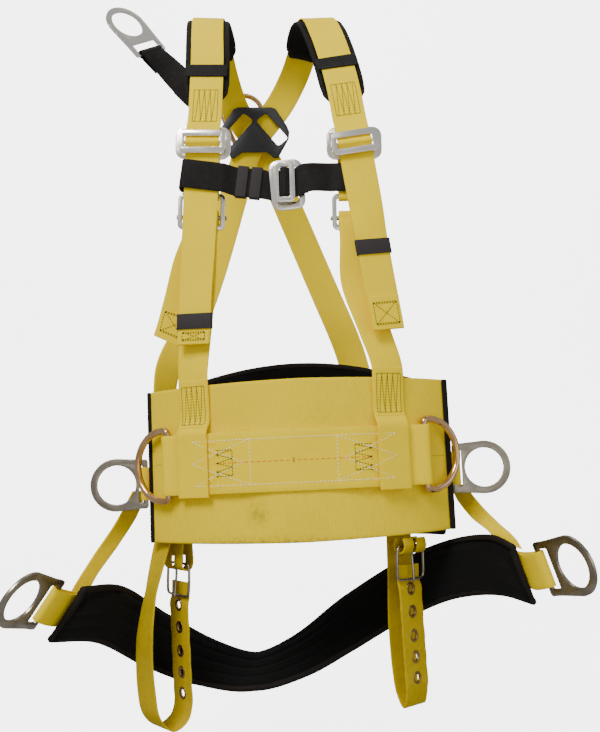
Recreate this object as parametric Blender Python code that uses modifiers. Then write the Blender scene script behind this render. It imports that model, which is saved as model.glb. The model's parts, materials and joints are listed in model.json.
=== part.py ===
"""Full body safety harness with belly panel, shoulder adjusters, dorsal extension, hip rings and sling seat.

Metres, +Z up, the wearer faces -Y. The origin is the centre of the wearer's waist, level with the belt.
"""

import math

import bmesh
import bpy
from mathutils import Matrix, Vector

# ---- driving sizes -------------------------------------------------------------------------------
GAP = 0.0004                 # clearance between pieces that touch
WEB_WIDTH = 0.0445           # shoulder, leg and hanger webbing
WEB_THICK = 0.0020
CHEST_WIDTH = 0.0381         # chest strap webbing
BELT_WIDTH = 0.0762          # waist belt webbing
BELT_THICK = 0.0030
WAIST_ROLL = math.radians(-2.6)   # the belt hangs a little lower on the wearer's right

PANEL_RADIUS = 0.278         # belly panel's bend
PANEL_HALF_LENGTH = 0.223    # along the bend
PANEL_FRONT = 0.115          # how far the panel stands in front of the waist's centre
PANEL_HEIGHT = 0.203
PANEL_END_HEIGHT = 0.197
PANEL_THICK = 0.006

BACK_HALF_WIDTH = 0.202      # lumbar pad's ellipse
BACK_DEPTH = 0.128
BACK_THICK = 0.012
BACK_TOP = 0.150
BACK_TOP_AT_ENDS = 0.098
BACK_BOTTOM = -0.112
BACK_WRAP = math.radians(76)

CHEST_FRONT = 0.095          # how far the front straps stand in front of the waist's centre
SHOULDER_TOP = 0.644
ADJUSTER_HEIGHT = 0.4136
CHEST_HEIGHT = 0.3700
TORSO_BUCKLE_HEIGHT = 0.325
LEFT_CHEST_X = -0.128        # wearer's right strap, on the left from the front
RIGHT_CHEST_X = 0.0716
LEFT_BELT_X = -0.1335
RIGHT_BELT_X = 0.1170

SHOULDER_PAD_WIDTH = 0.062
SHOULDER_PAD_THICK = 0.008

LINK_WIDTH_OVER = 0.0155     # sliding link's width over its webbing
LINK_HEIGHT = 0.0310
LINK_BAR = 0.0080
LINK_ROD_RADIUS = 0.0025
LINK_PLATE = 0.0025
FRAME_WIDTH_OVER = 0.0285    # pass-through frame's width over its webbing
FRAME_HEIGHT = 0.0440
FRAME_PLATE = 0.0030
SLOT_CLEAR = 0.0055          # a slot's length over the webbing that fills it

TORSO_FRAME_HEIGHT = 0.0490
TORSO_RAIL = 0.0060
TORSO_BAR_RADIUS = 0.0030
TORSO_BAR_TRAVEL = 0.0040

EYE_RADIUS = 0.0265          # stamped ring
EYE_BAND = 0.0095
STAMP_THICK = 0.0035
STAMP_BAR = 0.0070
STAMP_SLOT = 0.0170
HIP_BRIDGE = 0.0040          # the hip rings are shorter
HIP_SLOT = 0.0055
STAMP_BRIDGE = 0.0100
EXTENSION_BRIDGE = 0.0145
STAMP_RAIL = 0.0085

D_WIRE = 0.0045              # forged rings' wire radius
DORSAL_WIRE = 0.0040
D_ARM = 0.0105
DORSAL_ARM = 0.0500
DORSAL_OFFSET = 0.0150       # how far the dorsal ring's bend carries it behind its bar

SEAT_WIDTH = 0.0780
SEAT_THICK = 0.0120

LEG_WIRE = 0.0018
LEG_FRAME_HEIGHT = 0.0420
LEG_FRAME_OVER = 0.0060
GROMMET_HOLE = 0.0045
GROMMET_FLANGE = 0.0085
GROMMETS_PER_LEG = 4

# ---- derived places ------------------------------------------------------------------------------
PANEL_CENTRE_Y = PANEL_RADIUS - PANEL_FRONT
BELT_INNER = PANEL_THICK / 2 + GAP + BELT_THICK / 2
BELT_OUTER = BELT_INNER + BELT_THICK + 0.0010
BAR_ROOM = D_WIRE + 2 * GAP + BELT_THICK / 2
FRONT_BAR_OFFSET = BELT_INNER + BAR_ROOM
FRONT_BAR_ARC = {-1: 0.1730, 1: 0.1625}   # along the panel's bend to each forged ring's bar
WAIST = Matrix.Rotation(WAIST_ROLL, 4, "Y")
DORSAL_UNDER = 0.1680         # the inner strap's depth where the straps cross
DORSAL_BAR_Y = DORSAL_UNDER + WEB_THICK / 2 + 0.0014 + DORSAL_WIRE
DORSAL_OVER = DORSAL_BAR_Y + DORSAL_WIRE + 0.0014 + WEB_THICK / 2

# ---- scene ---------------------------------------------------------------------------------------
for old in list(bpy.data.objects):
    bpy.data.objects.remove(old)
harness = bpy.data.collections.new("safety_harness")
cutters = bpy.data.collections.new("cutters")
cutters.hide_render = True
for made in (harness, cutters):
    bpy.context.scene.collection.children.link(made)


def material(name, colour, roughness, metallic=0.0):
    made = bpy.data.materials.new(name)
    made.use_nodes = True
    shader = made.node_tree.nodes["Principled BSDF"]
    shader.inputs["Base Color"].default_value = (*colour, 1.0)
    shader.inputs["Roughness"].default_value = roughness
    shader.inputs["Metallic"].default_value = metallic
    made.diffuse_color = (*colour, 1.0)
    return made


YELLOW = material("yellow_webbing", (0.90, 0.70, 0.03), 0.65)
BLACK = material("black_webbing", (0.025, 0.023, 0.022), 0.75)
PADDING = material("black_padding", (0.012, 0.012, 0.011), 0.9)
PLASTIC = material("black_plastic", (0.02, 0.02, 0.02), 0.45)
PLATED = material("plated_steel", (0.78, 0.73, 0.62), 0.3, 1.0)
STEEL = material("stamped_steel", (0.52, 0.50, 0.45), 0.35, 1.0)
BRONZE = material("forged_ring", (0.62, 0.42, 0.22), 0.25, 1.0)
BRASS = material("brass_grommet", (0.55, 0.40, 0.15), 0.3, 1.0)


# ---- tools ---------------------------------------------------------------------------------------
def basis(origin, across, up):
    """A frame whose x is across, y is up and z faces out; up is squared to across."""
    x = Vector(across).normalized()
    z = x.cross(Vector(up)).normalized()
    y = z.cross(x)
    made = Matrix((x, y, z)).transposed().to_4x4()
    made.translation = Vector(origin)
    return made


def add(name, data, finish, frame=Matrix(), where=harness):
    made = bpy.data.objects.new(name, data)
    where.objects.link(made)
    made.location = frame.to_translation()
    made.rotation_euler = frame.to_euler()
    if finish:
        data.materials.append(finish)
    return made


def smooth(stations, steps):
    """Stations along one smooth curve through the given ones, each a point and a direction across."""
    points = [Vector(p) for p, _ in stations]
    acrosses = [Vector(a).normalized() for _, a in stations]
    points = [2 * points[0] - points[1], *points, 2 * points[-1] - points[-2]]
    knots = [0.0]
    for first, second in zip(points, points[1:]):
        knots.append(knots[-1] + math.sqrt((second - first).length))
    made = []
    for i in range(1, len(points) - 2):
        p, k = points[i - 1 : i + 3], knots[i - 1 : i + 3]
        for step in range(steps):
            t = k[1] + (k[2] - k[1]) * step / steps
            a = [p[j].lerp(p[j + 1], (t - k[j]) / (k[j + 1] - k[j])) for j in range(3)]
            b = [a[j].lerp(a[j + 1], (t - k[j]) / (k[j + 2] - k[j])) for j in range(2)]
            point = b[0].lerp(b[1], (t - k[1]) / (k[2] - k[1]))
            across = acrosses[i - 1].lerp(acrosses[i], step / steps).normalized()
            made.append((point, across))
    made.append((points[-2], acrosses[-1]))
    return made


def offset(stations, distance):
    """The same stations moved along the strip's own normal."""
    moved = []
    for i, (point, across) in enumerate(stations):
        ahead = stations[min(i + 1, len(stations) - 1)][0] - stations[max(i - 1, 0)][0]
        moved.append((point + across.cross(ahead).normalized() * distance, across))
    return moved


def strip(name, stations, width, thickness, finish):
    """A flat strip bent along its stations: a grid whose rows are the stations, given its thickness."""
    widths = width if callable(width) else lambda share: width
    rows = len(stations) - 1
    shape = bmesh.new()
    bmesh.ops.create_grid(shape, x_segments=rows, y_segments=1, size=1.0)
    for vertex in shape.verts:
        row = round((vertex.co.x + 1) / 2 * rows)
        side = vertex.co.y
        point, across = stations[row]
        vertex.co = point + across * (side * widths(row / rows) / 2)
    mesh = bpy.data.meshes.new(name)
    shape.to_mesh(mesh)
    shape.free()
    made = add(name, mesh, finish)
    thicken = made.modifiers.new("thickness", "SOLIDIFY")
    thicken.thickness = thickness
    thicken.offset = 0.0
    thicken.use_even_offset = True
    return made


def outline(curve, points):
    spline = curve.splines.new("POLY")
    spline.points.add(len(points) - 1)
    for knot, point in zip(spline.points, points):
        knot.co = (point[0], point[1], point[2] if len(point) > 2 else 0.0, 1.0)
    spline.use_cyclic_u = True
    return spline


def plate(name, loops, thickness, finish, frame, where=harness):
    """A flat plate from closed outlines; the inner ones are its windows."""
    curve = bpy.data.curves.new(name, "CURVE")
    curve.dimensions = "2D"
    curve.fill_mode = "BOTH"
    curve.extrude = thickness / 2
    for points in loops:
        outline(curve, points)
    return add(name, curve, finish, frame, where)


def rounded(width, height, radius, centre=(0.0, 0.0), corner=4):
    """A rectangle's outline with round corners."""
    points = []
    for turn, (sx, sy) in enumerate(((1, 1), (-1, 1), (-1, -1), (1, -1))):
        for step in range(corner + 1):
            angle = math.pi / 2 * (turn + step / corner)
            points.append((centre[0] + sx * (width / 2 - radius) + radius * math.cos(angle),
                           centre[1] + sy * (height / 2 - radius) + radius * math.sin(angle)))
    return points


def arc(centre, radius, start, end, steps):
    return [(centre[0] + radius * math.cos(start + (end - start) * i / steps),
             centre[1] + radius * math.sin(start + (end - start) * i / steps)) for i in range(steps + 1)]


def as_mesh(made):
    """A curve object turned into a mesh with its caps welded, so that it can be cut or joined."""
    bpy.context.view_layer.update()
    graph = bpy.context.evaluated_depsgraph_get()
    mesh = bpy.data.meshes.new_from_object(made.evaluated_get(graph))
    shape = bmesh.new()
    shape.from_mesh(mesh)
    bmesh.ops.remove_doubles(shape, verts=shape.verts, dist=0.00002)
    shape.to_mesh(mesh)
    shape.free()
    name, matrix, group = made.name, made.matrix_world.copy(), made.users_collection[0]
    bpy.data.objects.remove(made)
    solid = bpy.data.objects.new(name, mesh)
    group.objects.link(solid)
    solid.location = matrix.to_translation()
    solid.rotation_euler = matrix.to_euler()
    return solid


def boolean(made, other, operation):
    change = made.modifiers.new(operation.lower(), "BOOLEAN")
    change.operation = operation
    change.object = other
    change.solver = "EXACT"
    other.hide_render = True
    other.display_type = "WIRE"


def rod(name, radius, length, frame, finish=None, where=cutters, sides=12):
    """A round rod along its frame's x axis, centred on it."""
    shape = bmesh.new()
    turn = Matrix.Rotation(math.pi / 2, 4, "Y")
    bmesh.ops.create_cone(shape, cap_ends=True, segments=sides, radius1=radius, radius2=radius,
                          depth=length, matrix=turn)
    mesh = bpy.data.meshes.new(name)
    shape.to_mesh(mesh)
    shape.free()
    return add(name, mesh, finish, frame, where)


def wire(name, points, radius, finish, frame, cyclic=True, resolution=2):
    """A bent round wire."""
    curve = bpy.data.curves.new(name, "CURVE")
    curve.dimensions = "3D"
    curve.bevel_depth = radius
    curve.bevel_resolution = resolution
    curve.use_fill_caps = True
    outline(curve, points).use_cyclic_u = cyclic
    return add(name, curve, finish, frame)


def local(frame, pairs):
    """Stations given as (along, out) in a frame whose x axis is the strip's width."""
    across = frame.to_3x3().col[0]
    return [(frame @ Vector((0.0, along, out)), across) for along, out in pairs]


def belly(arc_length, stand_off, height):
    """A point on the belly panel: along its bend, off its middle surface, and up."""
    angle = arc_length / PANEL_RADIUS
    reach = PANEL_RADIUS + stand_off
    return WAIST @ Vector((reach * math.sin(angle), PANEL_CENTRE_Y - reach * math.cos(angle), height))


def belly_along(arc_length):
    angle = arc_length / PANEL_RADIUS
    return WAIST.to_3x3() @ Vector((math.cos(angle), math.sin(angle), 0.0))


def lumbar(angle, stand_off, height):
    """A point on the lumbar pad: angle 0 is the middle of the back, positive towards +X."""
    return WAIST @ Vector(((BACK_HALF_WIDTH + stand_off) * math.sin(angle),
                           (BACK_DEPTH + stand_off) * math.cos(angle), height))


UP = WAIST.to_3x3() @ Vector((0, 0, 1))


# ---- waist: belly panel, lumbar pad and belts ------------------------------------------------------
def belly_panel():
    rows = 20
    stations = [(belly(PANEL_HALF_LENGTH * (2 * i / rows - 1), 0.0, 0.0), UP) for i in range(rows + 1)]
    taper = PANEL_HEIGHT - PANEL_END_HEIGHT
    strip("belly_panel", stations, lambda share: PANEL_HEIGHT - taper * abs(2 * share - 1),
          PANEL_THICK, YELLOW)


def lumbar_pad():
    rows = 20
    stations, heights = [], []
    for i in range(rows + 1):
        angle = BACK_WRAP * (2 * i / rows - 1)
        top = BACK_TOP_AT_ENDS + (BACK_TOP - BACK_TOP_AT_ENDS) * math.cos(angle) ** 2
        stations.append((lumbar(angle, 0.0, (top + BACK_BOTTOM) / 2), UP))
        heights.append(top - BACK_BOTTOM)
    strip("lumbar_pad", stations, lambda share: heights[round(share * rows)], BACK_THICK, PADDING)


def front_belt():
    """One length of belt webbing, its ends folded round the two forged rings' bars and sewn down."""
    def side(sign):
        bar = FRONT_BAR_ARC[sign]
        flat = [0.075 + (bar - 0.023 - 0.075) * i / 4 for i in range(5)]
        under = [(s, BELT_INNER) for s in (*flat, bar - 0.012)]
        bend = [(bar + BAR_ROOM * math.sin(a), FRONT_BAR_OFFSET - BAR_ROOM * math.cos(a))
                for a in (math.radians(d) for d in (0, 45, 90, 135, 180))]
        over = [(bar - 0.0075, BELT_OUTER + 0.0058), (bar - 0.0155, BELT_OUTER + 0.0008),
                *((s, BELT_OUTER) for s in reversed(flat))]
        return [(sign * s, off) for s, off in under + bend + over]
    middle = [(-0.045, BELT_INNER + 0.0006), (0.0, BELT_INNER), (0.045, BELT_INNER + 0.0006)]
    run = side(-1) + middle + side(1)[::-1]
    strip("front_belt", smooth([(belly(s, off, 0.0), UP) for s, off in run], 3),
          BELT_WIDTH, BELT_THICK, YELLOW)


def rear_belt():
    """The belt behind the lumbar pad; its ends run forward inside the belly panel's ends."""
    off = BACK_THICK / 2 + GAP + BELT_THICK / 2 + 0.0004
    inside = -(PANEL_THICK / 2 + GAP + BELT_THICK / 2 + 0.0010)
    back = [(lumbar(BACK_WRAP * share, off, 0.0), UP) for share in
            (-1.0, -0.8, -0.6, -0.4, -0.2, 0.0, 0.2, 0.4, 0.6, 0.8, 1.0)]
    def ends(sign):
        return [(belly(sign * (PANEL_HALF_LENGTH + past), inside - in_more, 0.0), UP)
                for past, in_more in ((-0.040, 0.0), (-0.022, 0.0004), (-0.004, 0.0022), (0.012, 0.0066))]
    strip("rear_belt", smooth(ends(-1) + back + ends(1)[::-1], 3), BELT_WIDTH, BELT_THICK, YELLOW)


# ---- rings -----------------------------------------------------------------------------------------
def stamped_ring(name, frame, finish=STEEL, bridge=STAMP_BRIDGE, opening=STAMP_SLOT, web=WEB_WIDTH):
    """A flat ring: a round eye above a slot. Its frame sits on the slot bar, x along it and y to the eye."""
    eye = EYE_RADIUS + bridge + opening + STAMP_BAR / 2
    outer = EYE_RADIUS + EYE_BAND
    half = (web + SLOT_CLEAR) / 2 + STAMP_RAIL
    foot = -STAMP_BAR / 2
    corner = 0.004
    lean = math.radians(8)
    ring = arc((0.0, eye), outer, -lean, math.pi + lean, 24)
    base = ([(-half, opening)] + [(x - half + corner, y + foot + corner) for x, y in
            arc((0, 0), corner, math.pi, 1.5 * math.pi, 3)]
            + [(x + half - corner, y + foot + corner) for x, y in arc((0, 0), corner, 1.5 * math.pi,
                                                                      2 * math.pi, 3)]
            + [(half, opening)])
    hole = arc((0.0, eye), EYE_RADIUS, 0.0, 2 * math.pi, 28)[:-1]
    slot = rounded(web + SLOT_CLEAR, opening, 0.002, (0.0, (STAMP_BAR + opening) / 2), 2)
    return plate(name, [ring + base, hole, slot], STAMP_THICK, finish, frame)


def forged_ring(name, frame, bar, arm, radius, finish, bend=0.0):
    """A D of round wire. Its frame sits on the bar, x along it and y towards the bow; bend sets it back."""
    half = bar / 2 + radius
    fillet = 0.006
    start = [(-half + fillet, 0.0, 0.0), (half - fillet, 0.0, 0.0)]
    corner = [(half - fillet * (1 - math.sin(a)), fillet * (1 - math.cos(a)) * (not bend),
               fillet * (1 - math.cos(a)) * bool(bend)) for a in (math.pi / 4, math.pi / 2)]
    rise = []
    if bend:
        rise = [(half, 0.0, bend - fillet), (half, fillet * 0.3, bend - fillet * 0.3), (half, fillet, bend)]
    bow = [(x, y + arm, bend) for x, y in arc((0, 0), half, 0.0, math.pi, 16)]
    other = [(-x, y, z) for x, y, z in reversed(corner + rise)]
    wire(name, start + corner + rise + bow + other, radius, finish, frame)


def front_rings():
    for side, sign in (("left", -1), ("right", 1)):
        place = sign * FRONT_BAR_ARC[sign]
        frame = basis(belly(place, FRONT_BAR_OFFSET, 0.0), UP * sign, belly_along(place) * sign)
        forged_ring(f"front_ring_{side}", frame, BELT_WIDTH + SLOT_CLEAR, D_ARM, D_WIRE, BRONZE)


HIP_BAR = {"left": Vector((-0.2120, 0.004, -0.022)), "right": Vector((0.2120, 0.004, -0.020))}
LOOP_ROOM = math.hypot(STAMP_BAR / 2, STAMP_THICK / 2) + 0.0008 + WEB_THICK / 2


def hip_rings():
    """Each hip ring's bar is upright in a webbing loop that is sewn to the belt behind it."""
    for side, sign in (("left", -1), ("right", 1)):
        bar = WAIST @ HIP_BAR[side]
        stamped_ring(f"hip_ring_{side}", basis(bar, UP * sign, Vector((sign, 0, 0))),
                     bridge=HIP_BRIDGE, opening=HIP_SLOT)
        sewn = BACK_THICK / 2 + GAP + BELT_THICK + 0.0026 + WEB_THICK / 2
        height = HIP_BAR[side].z
        shares = (0.70, 0.78, 0.86, 0.93, 1.0)
        inner = [lumbar(sign * BACK_WRAP * share, sewn, height) for share in shares]
        outer = [lumbar(sign * BACK_WRAP * share, sewn + WEB_THICK + 0.0010,
                        height) for share in shares[::-1]]
        back = Vector((0, 1, 0))
        out = Vector((sign, 0, 0))
        bend = [bar + LOOP_ROOM * (out * -math.cos(a) - back * math.sin(a))
                for a in (math.radians(d) for d in (0, 45, 90, 135, 180))]
        run = inner + bend + outer
        strip(f"hip_loop_{side}", smooth([(p, UP) for p in run], 3), WEB_WIDTH, WEB_THICK, YELLOW)


# ---- front straps ----------------------------------------------------------------------------------
def strap_frame(side):
    """The left or right front strap's frame at its adjuster: x across the strap, y up along it, z out."""
    if side == "left":
        return basis((LEFT_CHEST_X, -CHEST_FRONT, ADJUSTER_HEIGHT), (1, 0, 0), (0.02, 0, 1))
    return basis((RIGHT_CHEST_X, -CHEST_FRONT, ADJUSTER_HEIGHT), (1, 0, 0.16), (-0.16, 0, 1))


def hang_frame(side):
    """The frame of what hangs from the adjuster: close to the strap's, but nearer upright."""
    up = (0.02, 0, 1) if side == "left" else (-0.02, 0, 1)
    return basis(strap_frame(side).translation, (1, 0, -up[0]), up)


UNDER_BAR = 0.0006                      # how far out the strap lies where it passes under the link's bars
LINK_OUT = 0.0068                       # link plate's middle, out from the strap
ROD_OUT = LINK_OUT - LINK_PLATE / 2 - LINK_ROD_RADIUS + 0.0006
OVER_ROD = ROD_OUT + LINK_ROD_RADIUS + GAP * 2 + WEB_THICK / 2
FRAME_OUT = -0.0078                     # pass-through frame's middle
FRAME_LIFT = 0.0030                     # frame's middle above the link's
TORSO_OUT = -0.0125                     # torso buckle's middle
TORSO_DROP = ADJUSTER_HEIGHT - TORSO_BUCKLE_HEIGHT


def link(name, frame, web, height=LINK_HEIGHT, bar=LINK_BAR):
    """A sliding link: a rounded plate with one window, crossed behind by a rod that the webbing goes over."""
    width = web + LINK_WIDTH_OVER
    window = rounded(web + 0.0025, height - 2 * bar, 0.002, corner=2)
    made = as_mesh(plate(name, [rounded(width, height, 0.007), window], LINK_PLATE, PLATED,
                         frame @ Matrix.Translation((0, 0, LINK_OUT))))
    cross = rod(f"{name}_rod", LINK_ROD_RADIUS, width - 0.006, frame @ Matrix.Translation((0, 0, ROD_OUT)))
    boolean(made, cross, "UNION")


def pass_frame(name, frame, web):
    """A pass-through frame: a wide window for the link and a narrow slot for its own webbing."""
    width = web + FRAME_WIDTH_OVER
    bar, slot, mid = 0.0080, 0.0050, 0.0050
    top = FRAME_HEIGHT / 2
    window_height = FRAME_HEIGHT - 2 * bar - slot - mid
    window = rounded(web + SLOT_CLEAR + 0.004, window_height, 0.004, (0, top - bar - window_height / 2), 2)
    narrow = rounded(web + SLOT_CLEAR, slot, 0.0015, (0, -top + bar + slot / 2), 2)
    plate(name, [rounded(width, FRAME_HEIGHT, 0.012), window, narrow], FRAME_PLATE, PLATED,
          frame @ Matrix.Translation((0, FRAME_LIFT, FRAME_OUT)))
    return FRAME_LIFT - top + bar + slot + mid / 2


def link_weave():
    """(along, out) where a strap passes a link from above: under a bar, over the rod, under a bar."""
    return [(0.0150, UNDER_BAR), (0.0098, UNDER_BAR + 0.0006), (0.0040, OVER_ROD - 0.0022), (0.0, OVER_ROD),
            (-0.0040, OVER_ROD - 0.0022), (-0.0098, UNDER_BAR + 0.0006), (-0.0150, UNDER_BAR)]


def lumbar_station(angle, height, lean):
    """Where a strap lies on the outside of the lumbar pad and its belt; lean tips its width."""
    off = BACK_THICK / 2 + GAP + BELT_THICK + 0.0030 + WEB_THICK / 2
    along = Vector(((BACK_HALF_WIDTH + off) * math.cos(angle), -(BACK_DEPTH + off) * math.sin(angle), 0))
    return lumbar(angle, off, height), along.normalized() + Vector((0, 0, lean))


def shoulder_strap(side):
    """From its sewn tail, up through the adjuster, over the shoulder, across the back and to the belt."""
    frame = strap_frame(side)
    across = frame.to_3x3().col[0]
    if side == "left":
        tail = [((-0.1350, -0.1010, 0.1455), (1, -0.30, 0)), ((-0.1348, -0.1008, 0.1600), (1, -0.30, 0)),
                ((-0.1338, -0.1000, 0.2150), (1, -0.30, 0)), ((-0.1315, -0.0990, 0.2700), (1, -0.15, 0)),
                ((-0.1298, -0.0970, 0.3250), (1, 0, 0))]
        rise = [((-0.1262, -0.0890, 0.4520), (1, 0, 0.0)), ((-0.1255, -0.0830, 0.4900), (1, 0.0, 0)),
                ((-0.1265, -0.0650, 0.5450), (1, 0.0, 0)), ((-0.1300, -0.0350, 0.6000), (1, 0, 0)),
                ((-0.1320, -0.0040, 0.6340), (1, 0.05, 0)), ((-0.1310, 0.0350, SHOULDER_TOP), (1, 0.10, 0)),
                ((-0.1270, 0.0850, 0.6310), (1, 0.10, 0.10)), ((-0.1190, 0.1350, 0.6030), (1, 0.05, 0.30)),
                ((-0.1060, 0.1660, 0.5710), (0.90, 0, 0.55))]
        cross = [((-0.0900, 0.1815, 0.5460), (0.77, 0, 0.64)), ((-0.0730, DORSAL_OVER, 0.5240),
                                                                (0.79, 0, 0.61)),
                 ((-0.0590, 0.1820, 0.4980), (0.84, 0, 0.54))]
        down = [((-0.0420, 0.1740, 0.4600), (0.90, 0, 0.44)), ((-0.0090, 0.1640, 0.3800), (0.92, 0, 0.38)),
                ((0.0340, 0.1540, 0.2750), (0.92, 0, 0.38)), ((0.0740, 0.1420, 0.1760), (0.93, -0.10, 0.34))]
        down += [lumbar_station(math.radians(deg), height, lean)
                 for deg, height, lean in ((26, 0.115, 0.26), (29, 0.070, 0.14), (30, 0.020, 0.05),
                                           (30, -0.030, 0))]
    else:
        tail = [((0.1130, -0.1010, 0.1650), (1, 0.34, 0.15)), ((0.1108, -0.1009, 0.1790), (1, 0.34, 0.15)),
                ((0.1010, -0.1000, 0.2350), (1, 0.34, 0.16)), ((0.0915, -0.0990, 0.2920), (1, 0.32, 0.16)),
                ((0.0850, -0.0975, 0.3330), (1, 0.10, 0.16))]
        rise = [((0.0650, -0.0890, 0.4520), (1, 0, 0.14)), ((0.0590, -0.0830, 0.4900), (1, 0, 0.12)),
                ((0.0480, -0.0650, 0.5450), (1, 0, 0.16)), ((0.0350, -0.0350, 0.6000), (1, 0, 0.18)),
                ((0.0250, -0.0040, 0.6340), (1, 0.10, 0.10)), ((0.0160, 0.0350, SHOULDER_TOP),
                                                               (1, 0.18, 0.0)),
                ((0.0060, 0.0850, 0.6330), (1, 0.20, -0.08)), ((-0.0090, 0.1310, 0.6080), (1, 0.14, -0.28)),
                ((-0.0320, 0.1600, 0.5740), (0.90, 0.06, -0.50))]
        cross = [((-0.0540, 0.1680, 0.5460), (0.75, 0, -0.66)), ((-0.0720, DORSAL_UNDER, 0.5220),
                                                                 (0.78, 0, -0.62)),
                 ((-0.0840, 0.1675, 0.4980), (0.86, 0, -0.48))]
        down = [((-0.0960, 0.1660, 0.4600), (0.92, 0, -0.34)), ((-0.1160, 0.1560, 0.3800),
                                                                (0.95, 0.06, -0.28)),
                ((-0.1390, 0.1420, 0.2900), (0.93, 0.20, -0.28)), ((-0.1620, 0.1180, 0.2120),
                                                                   (0.86, 0.36, -0.28))]
        down += [lumbar_station(math.radians(deg), height, lean) for deg, height, lean in
                 ((-60, 0.142, -0.30), (-63, 0.095, -0.16), (-64, 0.050, -0.05), (-64, 0.008, 0))]
    weave = local(frame, link_weave()[::-1])
    return tail + [(p, across) for p, _ in weave] + rise + cross + down


SHOULDER_STEPS = 3


def shoulder_straps():
    for side in ("left", "right"):
        stations = smooth(shoulder_strap(side), SHOULDER_STEPS)
        strip(f"shoulder_strap_{side}", stations, WEB_WIDTH, WEB_THICK, YELLOW)
        # the pad lies under the strap from above the adjuster to just behind the shoulder
        rise = 12
        first, last = (rise + 1) * SHOULDER_STEPS - 1, (rise + 6) * SHOULDER_STEPS + 1
        pad = offset(stations[first:last + 1], -(WEB_THICK / 2 + 0.0010 + SHOULDER_PAD_THICK / 2))
        end = 0.14

        def width(share):
            edge = min(share, 1 - share) / end
            return SHOULDER_PAD_WIDTH * (1 if edge >= 1 else 0.62 + 0.38 * math.sqrt(1 - (1 - edge) ** 2))
        strip(f"shoulder_pad_{side}", pad, width, SHOULDER_PAD_THICK, PADDING)


def adjusters():
    for side in ("left", "right"):
        frame = hang_frame(side)
        link(f"adjuster_link_{side}", strap_frame(side), WEB_WIDTH)
        mid = pass_frame(f"adjuster_frame_{side}", frame, WEB_WIDTH)
        torso_buckle(side, frame)
        link_strap(side, frame, mid)
        riser(side, frame)


TORSO_WIDTH = WEB_WIDTH + SLOT_CLEAR + 2 * TORSO_RAIL
TORSO_BAR_OUT = TORSO_OUT - FRAME_PLATE / 2 - GAP - TORSO_BAR_RADIUS
TORSO_BAR_DROP = TORSO_DROP + 0.0070


def torso_buckle(side, frame):
    """A friction buckle: a one-window plate and a loose round bar behind it."""
    centre = frame @ Matrix.Translation((0, -TORSO_DROP, TORSO_OUT))
    window = rounded(WEB_WIDTH + SLOT_CLEAR, TORSO_FRAME_HEIGHT - 2 * 0.0065, 0.003, corner=2)
    plate(f"torso_buckle_{side}", [rounded(TORSO_WIDTH, TORSO_FRAME_HEIGHT, 0.007), window],
          FRAME_PLATE, PLATED, centre)
    place = frame @ Matrix.Translation((0, -TORSO_BAR_DROP, TORSO_BAR_OUT))
    rod(f"torso_bar_{side}", TORSO_BAR_RADIUS, TORSO_WIDTH + 0.004, place, STEEL, harness)


def link_strap(side, frame, mid):
    """A short sewn loop from the pass-through frame's middle bar to the torso buckle's top bar."""
    room = FRAME_PLATE / 2 + GAP * 2 + WEB_THICK / 2
    top = -TORSO_DROP + TORSO_FRAME_HEIGHT / 2 - 0.0065 / 2
    front, back = FRAME_OUT + room, FRAME_OUT - room
    behind = back - WEB_THICK - 0.0012
    join = (mid + top) / 2
    pairs = [(join + 0.006, behind - 0.0010), (mid - 0.014, behind - 0.0002), (mid - 0.004, behind + 0.0004),
             (mid + 0.0036, back - 0.0008), (mid + 0.0052, FRAME_OUT), (mid + 0.0028, front),
             (mid - 0.0028, front), (mid - 0.0050, FRAME_OUT - 0.0004), (mid - 0.0085, back - 0.0004),
             (mid - 0.014, back - 0.0002), (join, back - 0.0010), (top + 0.007, TORSO_OUT + room),
             (top, TORSO_OUT + room + 0.0003), (top - 0.0044, TORSO_OUT + room - 0.0004),
             (top - 0.0058, TORSO_OUT), (top - 0.0044, TORSO_OUT - room + 0.0004),
             (top, TORSO_OUT - room - 0.0003), (top + 0.008, TORSO_OUT - room),
             (join + 0.002, behind - 0.0010 - WEB_THICK - GAP * 2)]
    strip(f"link_strap_{side}", smooth(local(frame, pairs), 2), WEB_WIDTH, WEB_THICK, YELLOW)


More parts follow.
